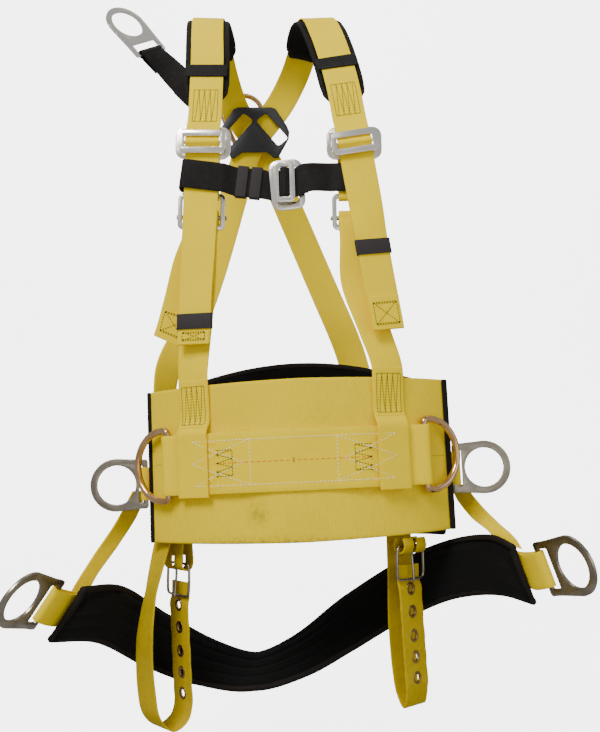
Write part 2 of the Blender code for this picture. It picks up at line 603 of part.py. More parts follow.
def riser(side, frame):
    """Sewn to the belt below, up and over the torso buckle's bar, and down again as a folded tail."""
    drop, bar_out = -TORSO_BAR_DROP, TORSO_BAR_OUT
    room = TORSO_BAR_RADIUS + GAP * 2 + WEB_THICK / 2
    low = -TORSO_DROP - TORSO_FRAME_HEIGHT / 2 + 0.0032
    sign = -1 if side == "left" else 1
    x = LEFT_BELT_X if side == "left" else RIGHT_BELT_X
    s = PANEL_RADIUS * math.asin(x / (PANEL_RADIUS + BELT_OUTER))
    flat = 0.0012                       # a flat strip clears the panel's bend by this at its middle
    on_panel = PANEL_THICK / 2 + WEB_THICK / 2 + flat + GAP
    on_belt = BELT_OUTER + BELT_THICK / 2 + WEB_THICK / 2 + flat + GAP + 0.0002
    half = BELT_WIDTH / 2
    along = belly_along(s)
    base = [(belly(s, on_belt, -half - 0.004), along), (belly(s, on_belt, -half * 0.5), along),
            (belly(s, on_belt, half * 0.6), along), (belly(s, on_belt, half + 0.002), along),
            (belly(s, on_panel, half + 0.016), along), (belly(s, on_panel, 0.085), along),
            (belly(s, on_panel + 0.001, PANEL_HEIGHT / 2 + 0.012), along)]
    start = frame @ Vector((0, low - 0.075, -0.0062))
    rise = [(base[-1][0].lerp(start, 0.45) + Vector((0, 0.0005, 0)), along.lerp(Vector((1, 0, 0)), 0.4)),
            (start, Vector((1, 0, 0)) if side == "left" else frame.to_3x3().col[0])]
    over = local(frame, [(low - 0.020, -0.0074), (low, TORSO_OUT + FRAME_PLATE / 2 + WEB_THICK / 2 + 0.0010),
                         (low + 0.0075, TORSO_OUT + 0.0022), (drop - 0.0005, bar_out + room + 0.0004),
                         (drop + TORSO_BAR_TRAVEL, bar_out + room), (drop + TORSO_BAR_TRAVEL + room * 0.8,
                                                                     bar_out + room * 0.55),
                         (drop + TORSO_BAR_TRAVEL + room, bar_out), (drop + TORSO_BAR_TRAVEL + room * 0.5,
                                                                     bar_out - room * 0.75),
                         (drop, bar_out - room - 0.0002), (low, bar_out - room - 0.0005)])
    if side == "left":
        tail = [((-0.1450, -0.0700, 0.2600), (1, 0, -0.15)), ((-0.1570, -0.0660, 0.2100), (1, 0, -0.28)),
                ((-0.1680, -0.0640, 0.1680), (0.95, 0, -0.40)), ((-0.1725, -0.0635, 0.1540),
                                                                 (0.93, 0, -0.42))]
    else:
        tail = [((0.0880, -0.0700, 0.2600), (0.9, -0.36, 0.20)), ((0.0960, -0.0670, 0.2150),
                                                                  (0.86, -0.45, 0.20)),
                ((0.1040, -0.0650, 0.1850), (0.86, -0.45, 0.22)), ((0.1070, -0.0645, 0.1720),
                                                                   (0.86, -0.45, 0.22))]
    strip(f"riser_strap_{side}", smooth(base + rise + over + tail, 3), WEB_WIDTH, WEB_THICK, YELLOW)


def keeper(name, frame, web, layers, height, wall=0.0012, clear=0.0008):
    """A flat sleeve round one or two layers of webbing, free to slide along them."""
    width, depth = web + 2 * clear, layers + 2 * clear
    ring = [rounded(width + 2 * wall, depth + 2 * wall, 0.0014, corner=1),
            rounded(width, depth, 0.0004, corner=1)]
    turned = frame @ Matrix.Rotation(-math.pi / 2, 4, "X")
    plate(name, ring, height, BLACK, turned)


TAIL_KEEPER_HEIGHT = {"left": 0.1740, "right": 0.2730}


def tail_keepers():
    """Black elastic sleeves that hold each folded tail to its strap."""
    for side, height in TAIL_KEEPER_HEIGHT.items():
        stations = smooth(shoulder_strap(side)[:5], 12)
        i = min(range(1, len(stations) - 1), key=lambda k: abs(stations[k][0].z - height))
        frame = basis(stations[i][0], stations[i][1], stations[i + 1][0] - stations[i - 1][0])
        keeper(f"tail_keeper_{side}", frame, WEB_WIDTH, WEB_THICK, 0.020)


# ---- chest strap -----------------------------------------------------------------------------------
CHEST_BUCKLE = Vector((-0.0200, -CHEST_FRONT - 0.0125, 0.3555))
CHEST_LEFT_END = Vector((LEFT_CHEST_X - WEB_WIDTH / 2 - 0.0035, -CHEST_FRONT - 0.0048, 0.3690))


def chest_frame(lean):
    """x across the chest strap, y along it towards +X, z out; lean tips the top back along the strap."""
    return basis(CHEST_BUCKLE, (lean, 0, -1), (1, -0.04, 0))


CHEST_LEFT_LEAN, CHEST_FRAME_LEAN, CHEST_LINK_LEAN, CHEST_RIGHT_LEAN = -0.115, 0.10, 0.03, 0.24


def chest_strap():
    link("chest_link", chest_frame(CHEST_LINK_LEAN), CHEST_WIDTH, 0.0270, 0.0065)
    right_half()
    left_half(pass_frame("chest_frame", chest_frame(CHEST_FRAME_LEAN), CHEST_WIDTH))
    for number, back in enumerate((0.0570, 0.0385), 1):
        place = chest_frame(CHEST_LEFT_LEAN) @ Matrix.Translation((0, -back, KEEPER_OUT))
        keeper(f"chest_keeper_{number}", place, CHEST_WIDTH, CHEST_LAYERS, 0.0140, clear=0.0010)


CHEST_TAIL_GAP = 0.0008
CHEST_LAYERS = 2 * WEB_THICK + CHEST_TAIL_GAP
LEFT_RUN_OUT = -0.0124
KEEPER_OUT = LEFT_RUN_OUT - (WEB_THICK + CHEST_TAIL_GAP) / 2


def right_half():
    """Sewn round the link's rod; its other end loops round the right link strap."""
    rod_room = LINK_ROD_RADIUS + GAP * 2 + WEB_THICK / 2
    behind = [(0.0340, -0.0042), (0.0240, -0.0018)]
    start = [(0.012, -0.0012), (0.002, ROD_OUT - rod_room)]
    bend = arc((0.0, ROD_OUT), rod_room, -math.pi / 2 - 0.5, -math.pi * 1.5, 4)
    over = [(0.0040, OVER_ROD - 0.0022), (0.0098, 0.0022), (0.0165, 0.0016)]
    ahead = [(0.0260, 0.0010), (0.0350, -0.0010)]
    frame, right = chest_frame(CHEST_LINK_LEAN), chest_frame(CHEST_RIGHT_LEAN)
    near = local(right, behind) + local(frame, start + bend + over) + local(right, ahead)
    strap = hang_frame("right")
    down = -(ADJUSTER_HEIGHT - CHEST_HEIGHT)
    edge = -WEB_WIDTH / 2
    width = strap.to_3x3().col[1] * -1
    def at(across, out):
        return (strap @ Vector((across, down, out)), width)
    loop = [at(edge - 0.012, -0.0052), at(edge + 0.004, -0.0052), at(0.0, -0.0052),
            at(-edge - 0.002, -0.0052),
            at(-edge + 0.0030, -0.0075), at(-edge + 0.0045, -0.0120), at(-edge + 0.0030, -0.0185),
            at(-edge - 0.003, -0.0220), at(0.0, -0.0224), at(edge + 0.006, -0.0222)]
    strip("chest_strap_right", smooth(near + loop, 3), CHEST_WIDTH, WEB_THICK, BLACK)


def left_half(mid):
    """Round the frame's middle bar, back under the keepers, and in a loop round the left front strap."""
    room = FRAME_PLATE / 2 + GAP * 2 + WEB_THICK / 2
    front, back = FRAME_OUT + room, FRAME_OUT - room
    tail = LEFT_RUN_OUT - WEB_THICK - CHEST_TAIL_GAP
    frame, left = chest_frame(CHEST_FRAME_LEAN), chest_frame(CHEST_LEFT_LEAN)
    near = [(mid - 0.006, tail + 0.0004), (mid + 0.0030, tail + 0.0022), (mid + 0.0054, FRAME_OUT - 0.0004),
            (mid + 0.0028, front),
            (mid - 0.0028, front), (mid - 0.0048, FRAME_OUT - 0.0010), (mid - 0.0064, FRAME_OUT - 0.0036),
            (mid - 0.0100, LEFT_RUN_OUT)]
    near = (local(left, [(d, tail) for d in (-0.0670, -0.0560, -0.0430, -0.0300)]) + local(frame, near)
            + local(left, [(d, LEFT_RUN_OUT) for d in (-0.0300, -0.0430, -0.0560, -0.0670)]))
    strap = strap_frame("left")
    down = CHEST_LEFT_END.z - ADJUSTER_HEIGHT
    edge = WEB_WIDTH / 2
    width = left.to_3x3().col[0]
    def at(across, out):
        return (strap @ Vector((across, down - across * 0.115, out)), width)
    loop = [at(edge + 0.006, 0.0035), at(edge - 0.004, 0.0045), at(0.0, 0.0048), at(-edge, 0.0048),
            at(-edge - 0.0042, 0.0026), at(-edge - 0.0056, -0.0070), at(-edge - 0.0036, -0.0190),
            at(-edge + 0.004, -0.0222), at(0.0, -0.0224), at(edge - 0.004, -0.0222)]
    strip("chest_strap_left", smooth(near + loop, 3), CHEST_WIDTH, WEB_THICK, BLACK)


# ---- dorsal pad, ring and extension ------------------------------------------------------------------
DORSAL = Vector((-0.0730, 0.1600, 0.5240))
DORSAL_TILT = math.radians(25)
DORSAL_ALONG = Vector((math.cos(DORSAL_TILT), 0, math.sin(DORSAL_TILT)))
DORSAL_AXIS_UP = Vector((-math.sin(DORSAL_TILT), 0, math.cos(DORSAL_TILT)))
DORSAL_PLATE = 0.0030


def dorsal_pad():
    """A moulded plate in front of the crossed straps, with a window over each."""
    half, top, low, waist = 0.0560, 0.0450, -0.0440, 0.0300
    edge = [(-0.026, top), (0.026, top), (0.034, top - 0.003), (half - 0.004, 0.014), (half, 0.004),
            (half - 0.001, -0.008), (waist + 0.008, low + 0.004), (waist + 0.002, low + 0.004),
            (0.020, low + 0.014), (-0.020, low + 0.014), (-waist - 0.002, low + 0.004),
            (-waist - 0.008, low + 0.004), (-half + 0.001, -0.008), (-half, 0.004), (-half + 0.004, 0.014),
            (-0.034, top - 0.003)]
    windows = []
    for sign in (-1, 1):
        shape = rounded(0.056, 0.021, 0.004, corner=2)
        turn = Matrix.Rotation(math.radians(-50) if sign > 0 else math.radians(50), 2)
        windows.append([tuple(turn @ Vector(p) + Vector((sign * 0.0280, 0.0080))) for p in shape])
    plate("dorsal_pad", [edge, *windows], DORSAL_PLATE, PLASTIC, basis(DORSAL, (1, 0, 0), (0, 0, 1)))


def dorsal_frame():
    return basis((DORSAL.x, DORSAL_BAR_Y, DORSAL.z), -DORSAL_ALONG, DORSAL_AXIS_UP)


def dorsal_ring():
    forged_ring("dorsal_ring", dorsal_frame(), WEB_WIDTH + DORSAL_CLEAR, DORSAL_ARM, DORSAL_WIRE, BRONZE,
                bend=DORSAL_OFFSET)


EXTENSION_LEAD = math.radians(29)
EXTENSION_NECK = 0.0240      # the webbing is gathered to this width inside the ring
DORSAL_CLEAR = 0.0120
DORSAL_HALF = (WEB_WIDTH + DORSAL_CLEAR) / 2 + DORSAL_WIRE


def bow_point():
    """Where the extension's loop holds the dorsal ring's bow."""
    centre = dorsal_frame() @ Vector((0, DORSAL_ARM, DORSAL_OFFSET))
    lead = Vector((-math.cos(EXTENSION_LEAD), 0, math.sin(EXTENSION_LEAD)))
    return centre + lead * DORSAL_HALF, lead


def extension():
    """Doubled black webbing, a loop round the dorsal ring at one end and round the flat ring at the other."""
    hold, lead = bow_point()
    width = Vector((math.sin(EXTENSION_LEAD), 0, math.cos(EXTENSION_LEAD)))
    back = Vector((0, 1, 0))
    sag = DORSAL_HALF - math.sqrt(DORSAL_HALF**2 - (EXTENSION_NECK / 2)**2)
    hold = hold - lead * sag / 2
    room = DORSAL_WIRE + sag / 2 + 0.0012 + WEB_THICK / 2
    ring_bar = Vector((-0.2460, 0.1780, 0.6720))
    far_across = Vector((0.596, 0.615, 0.518))
    far_run = Vector((-0.630, 0.0, 0.777))
    far_out = far_across.cross(far_run).normalized()
    far_run = far_out.cross(far_across).normalized()
    apart = WEB_THICK / 2 + 0.0004
    def loop(centre, run, out, radius, degrees):
        return [centre + run * radius * math.cos(a) + out * radius * math.sin(a)
                for a in (math.radians(d) for d in degrees)]
    near_turn = loop(hold, lead, back, room, (50, 90, 135, 180, 225, 270, 310))
    middle = [(Vector((-0.1680, 0.2010, 0.6020)), Vector((0.62, 0, 0.78))),
              (Vector((-0.1930, 0.1960, 0.6240)), Vector((0.755, 0.05, 0.656))),
              (Vector((-0.2210, 0.1880, 0.6500)), Vector((0.70, 0.35, 0.60)))]
    outs = []
    for i, (point, across) in enumerate(middle):
        ahead = (middle[min(i + 1, 2)][0] - middle[max(i - 1, 0)][0]).normalized()
        outs.append(across.cross(ahead).normalized())
    if outs[0].dot(back) < 0:
        outs = [-o for o in outs]
        far_out = -far_out if far_out.dot(back) < 0 else far_out
    upper = [(p + o * (apart + 0.0004 * i), a) for i, ((p, a), o) in enumerate(zip(middle, outs))]
    lower = [(p - o * (apart + 0.0006 * i), a) for i, ((p, a), o) in enumerate(zip(middle, outs))]
    far_turn = loop(ring_bar, far_run, far_out, LOOP_ROOM, (230, 270, 315, 0, 45, 90, 130))
    route = ([upper[1], upper[0]] + [(p, width) for p in near_turn] + lower
             + [(p, far_across) for p in far_turn] + [(upper[2][0], upper[2][1])])
    last = len(route) - 1

    def width_at(share):
        place = share * last
        out_of_neck = max(2.0 - place, place - 8.0, 0.0)
        return EXTENSION_NECK + (WEB_WIDTH - EXTENSION_NECK) * min(out_of_neck, 1.0)
    strip("extension_strap", smooth(route, 3), width_at, WEB_THICK, BLACK)
    stamped_ring("extension_ring", basis(ring_bar, far_across, far_run), PLATED, bridge=EXTENSION_BRIDGE)


# ---- seat ------------------------------------------------------------------------------------------
SEAT_LINE = [((-0.2830, -0.1220, -0.1860), (0.52, 0.05, 0.82)), ((-0.2440, -0.0560, -0.1960),
                                                                 (0.36, 0.12, 0.88)),
             ((-0.1920, 0.0160, -0.2420), (0.22, 0.40, 0.86)), ((-0.1280, 0.0580, -0.2790),
                                                                (0.15, 0.70, 0.62)),
             ((-0.0630, 0.0700, -0.2935), (0.02, 0.86, 0.46)), ((0.0000, 0.0700, -0.2720),
                                                                (-0.14, 0.76, 0.58)),
             ((0.0700, 0.0550, -0.2240), (-0.26, 0.52, 0.80)), ((0.1380, 0.0280, -0.1780),
                                                                (-0.20, 0.36, 0.88)),
             ((0.1990, -0.0200, -0.1440), (-0.08, 0.20, 0.95)), ((0.2480, -0.0780, -0.1320),
                                                                 (-0.14, 0.10, 0.97)),
             ((0.2740, -0.1160, -0.1400), (-0.32, 0.05, 0.93))]


def seat():
    stations = smooth(SEAT_LINE, 4)
    strip("seat_pad", stations, SEAT_WIDTH, SEAT_THICK, PADDING)
    # webbing under the pad, folded round each seat ring's bar
    sign = -1 if offset(stations, 1)[20][0].z > stations[20][0].z else 1
    under = offset(stations, sign * (SEAT_THICK / 2 + 0.0026 + WEB_THICK / 2))
    lower = offset(stations, sign * (SEAT_THICK / 2 + 0.0026 + WEB_THICK * 1.5 + 0.0016))
    ends, frames = [], {}
    for side, index, inner in (("left", 0, 1), ("right", -1, -2)):
        point, across = under[index]
        run = under[index][0] - under[inner][0]
        run = (run - across * run.dot(across)).normalized()
        out = (lower[index][0] - point).normalized()
        bar = point + run * 0.020 + out * LOOP_ROOM
        turn = [(bar + LOOP_ROOM * (run * math.sin(a) - out * math.cos(a)), across)
                for a in (math.radians(d) for d in (0, 45, 90, 135, 180))]
        back = lower[:4] if side == "left" else lower[:-5:-1]
        ends.append(turn + [(bar - run * 0.012 + out * (LOOP_ROOM - 0.0020), across)] + back[1:])
        frames[side] = (bar, across, run)
    strip("seat_webbing", ends[0][::-1] + under + ends[1], WEB_WIDTH, WEB_THICK, YELLOW)
    for side, (bar, across, run) in frames.items():
        lean = Vector((0, -0.75, 0.20)) if side == "left" else Vector((0.10, -0.75, 0.25))
        stamped_ring(f"seat_ring_{side}", basis(bar, across, run + lean))


HANGER_TOP = {"left": Vector((-0.2260, 0.0440, -0.0420)), "right": Vector((0.2220, 0.0440, -0.0330))}


def hangers():
    """Webbing from each hip down to the seat's end, sewn to the webbing under the seat."""
    routes = {
        "left": [(HANGER_TOP["left"], (0.25, 0.97, 0)), ((-0.2400, 0.0260, -0.0800), (0.45, 0.88, 0.10)),
                 ((-0.2600, -0.0100, -0.1200), (0.55, 0.80, 0.20)), ((-0.2780, -0.0460, -0.1560),
                                                                     (0.52, 0.80, 0.30)),
                 ((-0.2830, -0.0580, -0.1700), (0.50, 0.80, 0.33))],
        "right": [(HANGER_TOP["right"], (-0.25, 0.97, 0)), ((0.2320, 0.0290, -0.0540), (-0.45, 0.88, 0)),
                  ((0.2480, -0.0080, -0.0790), (-0.60, 0.78, 0.05)), ((0.2620, -0.0480, -0.0960),
                                                                      (-0.62, 0.76, 0.15)),
                  ((0.2680, -0.0600, -0.1080), (-0.62, 0.74, 0.22))]}
    for side, route in routes.items():
        strip(f"seat_hanger_{side}", smooth(route, 4), WEB_WIDTH, WEB_THICK, YELLOW)


# ---- legs ------------------------------------------------------------------------------------------
LEG_STRANDS = {              # the flat length with grommets: low end, high end and its width's direction
    "left": (Vector((-0.1525, -0.0150, -0.3130)), Vector((-0.1605, -0.0190, -0.1780)), (0.62, -0.78, 0)),
    "right": (Vector((0.1480, -0.0620, -0.2830)), Vector((0.1400, -0.0640, -0.1520)), (0.70, 0.71, 0))}
LEG_ROUTES = {
    "left": [((-0.1800, -0.0240, -0.0980), (0.62, -0.78, 0)), ((-0.1930, -0.0440, -0.1700), (0.45, -0.89, 0)),
             ((-0.1990, -0.0500, -0.2300), (0.60, -0.80, 0)), ((-0.1960, -0.0490, -0.2900), (0.66, -0.75, 0)),
             ((-0.1890, -0.0430, -0.3260), (0.66, -0.75, 0)), ((-0.1730, -0.0300, -0.3430), (0.64, -0.77, 0)),
             ((-0.1570, -0.0180, -0.3330), (0.62, -0.78, 0))],
    "right": [((0.1290, -0.0400, -0.0860), (0.80, 0.60, 0)), ((0.1310, -0.0330, -0.1500), (0.80, 0.60, 0)),
              ((0.1330, -0.0290, -0.2100), (0.86, 0.50, 0)), ((0.1360, -0.0320, -0.2700), (0.80, 0.60, 0)),
              ((0.1390, -0.0400, -0.2970), (0.72, 0.69, 0)), ((0.1450, -0.0550, -0.3080), (0.70, 0.71, 0))]}
LEG_BUCKLE = {"left": Vector((-0.1610, -0.0200, -0.1560)), "right": Vector((0.1410, -0.0645, -0.1300))}
LEG_HANG = Vector((0, 0, 0.1015 - PANEL_HEIGHT / 2))     # the legs keep their place under the panel's edge
GROMMET_SHARES = (0.075, 0.272, 0.472, 0.700)


def leg(side):
    low, high, across = LEG_STRANDS[side]
    frame = basis(LEG_BUCKLE[side] + LEG_HANG, across, (0, 0, 1))
    half = LEG_FRAME_HEIGHT / 2
    width = WEB_WIDTH + LEG_FRAME_OVER
    outline = rounded(width + 2 * LEG_WIRE, LEG_FRAME_HEIGHT, 0.006, corner=2)
    wire(f"leg_buckle_frame_{side}", [(x, y, 0) for x, y in outline], LEG_WIRE, STEEL, frame)
    leg_tongue(side, frame, half)
    leg_loop(side, frame, half)
    leg_strap(side, frame, half)


def leg_tongue(side, frame, half):
    """A bent wire tongue hung on the frame's upper bar, its tip on the lower one."""
    eye = LEG_WIRE * 2 + GAP * 2
    points = [(0.0, half + eye * math.sin(a), eye * math.cos(a)) for a in
              (math.radians(d) for d in (-60, 0, 60, 120, 180, 225))]
    tip = [(0.0, half * 0.3, -eye * 0.2 + 0.0030), (0.0, -half * 0.5, 0.0050), (0.0, -half + 0.001, 0.0050),
           (0.0, -half - 0.0040, 0.0052)]
    wire(f"leg_tongue_{side}", points[::-1][0:5] + tip, LEG_WIRE, STEEL, frame, cyclic=False, resolution=1)


def leg_loop(side, frame, half):
    """The short webbing loop that hangs the leg buckle from under the belt; split for the tongue."""
    room = LEG_WIRE + GAP * 3 + WEB_THICK / 2 + LEG_WIRE * 2 + GAP * 2
    top = {"left": -0.1000, "right": -0.0985}[side] - LEG_BUCKLE[side].z
    mid = (half + top) / 2
    turn = [math.radians(degrees) for degrees in (0, 45, 90, 135, 180)]
    pairs = ([(top, -room * 0.7), (mid, -room * 0.9)]
             + [(half - room * math.sin(angle), -room * math.cos(angle)) for angle in turn]
             + [(mid, room * 0.9), (top, room * 0.7)])
    made = strip(f"leg_buckle_loop_{side}", smooth(local(frame, pairs), 3), WEB_WIDTH, WEB_THICK, YELLOW)
    shape = bmesh.new()
    bmesh.ops.create_cube(shape, size=1.0, matrix=Matrix.Diagonal((0.0075, 0.0270, 0.0300, 1.0)))
    mesh = bpy.data.meshes.new(f"tongue_slot_{side}")
    shape.to_mesh(mesh)
    shape.free()
    slot = add(f"tongue_slot_{side}", mesh, None, frame @ Matrix.Translation((0, half - room + 0.0045, 0)),
               cutters)
    boolean(made, slot, "DIFFERENCE")


def leg_strap(side, frame, half):
    behind = -(LEG_WIRE + 0.0010 + WEB_THICK / 2)
    low, high, across = LEG_STRANDS[side]
    low, high = low + LEG_HANG, high + LEG_HANG
    route = [(Vector(point) + LEG_HANG, over) for point, over in LEG_ROUTES[side]]
    strand = [(low.lerp(high, share), across) for share in (0.0, 0.08, 0.5, 0.86, 0.92)]
    end = [(frame @ Vector((0, up, behind)), across) for up in (-half, -half + 0.009, -half + 0.018)]
    stations = smooth(route + strand + end, 4)
    made = strip(f"leg_strap_{side}", stations, WEB_WIDTH, WEB_THICK, YELLOW)
    for number, share in enumerate(GROMMET_SHARES[:GROMMETS_PER_LEG], 1):
        place = basis(low.lerp(high, share), across, high - low)
        hole = rod(f"hole_{side}_{number}", GROMMET_HOLE + 0.0010 + GAP, 0.02,
                   place @ Matrix.Rotation(math.pi / 2, 4, "Y"), sides=16)
        boolean(made, hole, "DIFFERENCE")
        grommet(f"grommet_{side}_{number}", place)


def grommet(name, frame):
    """A turned eyelet: a tube through the webbing with a flange on each face."""
    inner, tube = GROMMET_HOLE, GROMMET_HOLE + 0.0010
    face = WEB_THICK / 2 + GAP
    lip = face + 0.0009
    profile = [(GROMMET_FLANGE, lip), (GROMMET_FLANGE, face), (tube, face), (tube, -face),
               (GROMMET_FLANGE, -face), (GROMMET_FLANGE, -lip), (inner, -lip), (inner, lip)]
    mesh = bpy.data.meshes.new(name)
    shape = bmesh.new()
    knots = [shape.verts.new((x, 0.0, z)) for x, z in profile]
    for first, second in zip(knots, knots[1:] + knots[:1]):
        shape.edges.new((first, second))
    shape.to_mesh(mesh)
    shape.free()
    made = add(name, mesh, BRASS, frame)
    spin = made.modifiers.new("turn", "SCREW")
    spin.steps = spin.render_steps = 16
    spin.use_merge_vertices = True
    spin.merge_threshold = 0.00005
    return made


def main():
    belly_panel()
    lumbar_pad()
    front_belt()
    rear_belt()
    front_rings()
    hip_rings()
    shoulder_straps()
    adjusters()
    tail_keepers()
    chest_strap()
    dorsal_pad()
    dorsal_ring()
    extension()
    seat()
    hangers()
    for side in ("left", "right"):
        leg(side)


main()
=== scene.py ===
"""A full body safety harness: yellow webbing, black padding, plated and bronze fittings."""

import json
import math

import bmesh
import bpy
import numpy as np
from mathutils import Matrix, Vector
from mathutils.kdtree import KDTree


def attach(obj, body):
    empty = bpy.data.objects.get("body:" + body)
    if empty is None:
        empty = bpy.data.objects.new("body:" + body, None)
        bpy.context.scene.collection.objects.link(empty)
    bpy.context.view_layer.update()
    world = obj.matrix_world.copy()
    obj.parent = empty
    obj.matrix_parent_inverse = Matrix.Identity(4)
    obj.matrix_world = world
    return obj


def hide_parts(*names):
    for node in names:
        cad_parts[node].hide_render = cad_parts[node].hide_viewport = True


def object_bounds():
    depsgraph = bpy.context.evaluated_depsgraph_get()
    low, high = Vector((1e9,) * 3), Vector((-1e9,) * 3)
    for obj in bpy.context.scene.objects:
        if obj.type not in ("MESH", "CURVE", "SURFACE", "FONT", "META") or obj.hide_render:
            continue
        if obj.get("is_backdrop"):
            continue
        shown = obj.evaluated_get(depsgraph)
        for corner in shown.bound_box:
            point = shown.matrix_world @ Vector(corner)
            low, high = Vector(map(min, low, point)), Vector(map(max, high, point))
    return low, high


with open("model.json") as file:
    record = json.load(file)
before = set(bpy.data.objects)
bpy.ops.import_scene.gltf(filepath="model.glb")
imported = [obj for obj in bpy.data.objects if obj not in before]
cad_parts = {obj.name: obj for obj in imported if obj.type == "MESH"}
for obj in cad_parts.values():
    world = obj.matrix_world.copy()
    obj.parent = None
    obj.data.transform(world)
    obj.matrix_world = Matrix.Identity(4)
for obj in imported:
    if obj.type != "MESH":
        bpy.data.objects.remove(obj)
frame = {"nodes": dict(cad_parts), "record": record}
cad_low, cad_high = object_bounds()
BODY_OF = {node: body for body, nodes in frame["record"]["behaviour"]["bodies"].items() for node in nodes}
SIDES = ("left", "right")
bpy.ops.object.select_all(action="DESELECT")

# ---- camera ---------------------------------------------------------------------------------------
# A standing view from a little over a metre in front of the waist, tipped up so that the whole
# harness, from the seat to the shoulders, fills the frame.
bpy.ops.object.camera_add(location=(0, -1.236, -0.013), rotation=(math.radians(96.6), 0, 0))
camera = bpy.context.object
camera.data.sensor_fit = "VERTICAL"
camera.data.sensor_height = 36
camera.data.lens = 44.26
bpy.context.scene.camera = camera

# ---- studio ---------------------------------------------------------------------------------------
# A pale floor that curves up into a pale wall, lit by a wide soft light from the upper left, a
# weaker one from the right. The paper glows a little, and throws no light on the harness.
FLOOR = cad_low.z - 0.06
bpy.ops.mesh.primitive_grid_add(x_subdivisions=2, y_subdivisions=40, size=2)
backdrop = bpy.context.object
backdrop.name = "backdrop"
for corner in backdrop.data.vertices:
    run = (corner.co.y + 1) / 2 * 12.0 - 3.5
    bend = min(max(run - 2.0, 0.0), 1.2 * math.pi / 2) / 1.2
    past = max(run - 2.0 - 1.2 * math.pi / 2, 0.0)
    flat = min(run, 2.0)
    corner.co = (corner.co.x * 6, flat + 1.2 * math.sin(bend), FLOOR + 1.2 * (1 - math.cos(bend)) + past)
bpy.ops.object.shade_smooth()
pale = bpy.data.materials.new("pale_paper")
pale.use_nodes = True
paper = pale.node_tree.nodes["Principled BSDF"]
paper.inputs["Base Color"].default_value = (0.9, 0.9, 0.89, 1)
paper.inputs["Roughness"].default_value = 0.9
paper.inputs["Emission Color"].default_value = (1, 1, 1, 1)
paper.inputs["Emission Strength"].default_value = 4.2
backdrop.data.materials.append(pale)
backdrop.visible_diffuse = False
backdrop.visible_glossy = False
backdrop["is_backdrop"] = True

for name, place, size, power in (("key", (-1.2, -2.2, 2.4), 1.3, 100), ("fill", (2.2, -1.9, 0.6), 2.0, 15),
                                 ("low", (0.2, -2.4, -0.2), 1.4, 6), ("wall", (0.0, 1.2, 2.6), 2.4, 40)):
    bpy.ops.object.light_add(type="AREA", location=place)
    lamp = bpy.context.object
    lamp.name = name
    lamp.data.size = size
    lamp.data.energy = power
    aim = Vector((0, 0, 0.1)) if name != "wall" else Vector((0, 3.2, 0.8))
    lamp.rotation_euler = (aim - Vector(place)).to_track_quat("-Z", "Y").to_euler()
world = bpy.data.worlds.new("studio")
world.use_nodes = True
world.node_tree.nodes["Background"].inputs["Color"].default_value = (0.95, 0.96, 1, 1)
world.node_tree.nodes["Background"].inputs["Strength"].default_value = 0.46
bpy.context.scene.world = world


# ---- belly panel ----------------------------------------------------------------------------------
# A stiff yellow mesh fabric panel over a thin foam, its two ends bound in brown-black tape. The cloth
# has a fine rib, and its lower edge is soiled where it rubs.
def wire_up(tree, kind, inputs=None, **settings):
    """A node in a tree, with its settings, and its inputs given a value or another node's socket."""
    made = tree.nodes.new(kind)
    for key, value in settings.items():
        setattr(made, key, value)
    for socket, value in (inputs or {}).items():
        if isinstance(value, bpy.types.NodeSocket):
            tree.links.new(value, made.inputs[socket])
        else:
            made.inputs[socket].default_value = value
    return made


def maths(tree, operation, *values):
    return wire_up(tree, "ShaderNodeMath", dict(enumerate(values)), operation=operation).outputs[0]


def noise(tree, place, scale, detail):
    return wire_up(tree, "ShaderNodeTexNoise", {"Vector": place, "Scale": scale, "Detail": detail}).outputs[0]


def blended(tree, share, first, second):
    return wire_up(tree, "ShaderNodeMix", {0: share, 6: first, 7: second}, data_type="RGBA").outputs[2]


def blank(name):
    """A new material, its tree, its shader and where its Object coordinates come out."""
    made = bpy.data.materials.new(name)
    made.use_nodes = True
    tree = made.node_tree
    place = tree.nodes.new("ShaderNodeTexCoord").outputs["Object"]
    return made, tree, tree.nodes["Principled BSDF"], place


def group(name, inputs, outputs):
    """An empty shader group with named inputs (name, kind, value) and outputs (name, kind)."""
    tree = bpy.data.node_groups.new(name, "ShaderNodeTree")
    for label, kind, value in inputs:
        socket = tree.interface.new_socket(label, in_out="INPUT", socket_type=f"NodeSocket{kind}")
        socket.default_value = value
    for label, kind in outputs:
        tree.interface.new_socket(label, in_out="OUTPUT", socket_type=f"NodeSocket{kind}")
    return tree, tree.nodes.new("NodeGroupInput").outputs, tree.nodes.new("NodeGroupOutput").inputs


def weave_group():
    """Ribs along the cloth, each a row of rounded picks set half a pick off from the next row's."""
    tree, given, result = group("weave", [("Cloth", "Vector", (0, 0, 0)), ("Rib", "Float", 0.0012),
                                          ("Pick", "Float", 0.0024), ("Soft", "Float", 0.5)],
                                [("Height", "Float")])
    parts = wire_up(tree, "ShaderNodeSeparateXYZ", {0: given["Cloth"]}).outputs
    rib = maths(tree, "DIVIDE", parts["X"], given["Rib"])
    ridge = maths(tree, "ABSOLUTE", maths(tree, "SINE", maths(tree, "MULTIPLY", rib, math.pi)))
    shift = maths(tree, "MULTIPLY", maths(tree, "FLOOR", rib), 0.5)
    pick = maths(tree, "ADD", maths(tree, "DIVIDE", parts["Y"], given["Pick"]), shift)
    knot = maths(tree, "ABSOLUTE", maths(tree, "SINE", maths(tree, "MULTIPLY", pick, math.pi)))
    round_rib = maths(tree, "POWER", ridge, given["Soft"])
    round_pick = maths(tree, "MULTIPLY_ADD", maths(tree, "POWER", knot, given["Soft"]), 0.6, 0.4)
    tree.links.new(maths(tree, "MULTIPLY", round_rib, round_pick), result["Height"])
    return tree


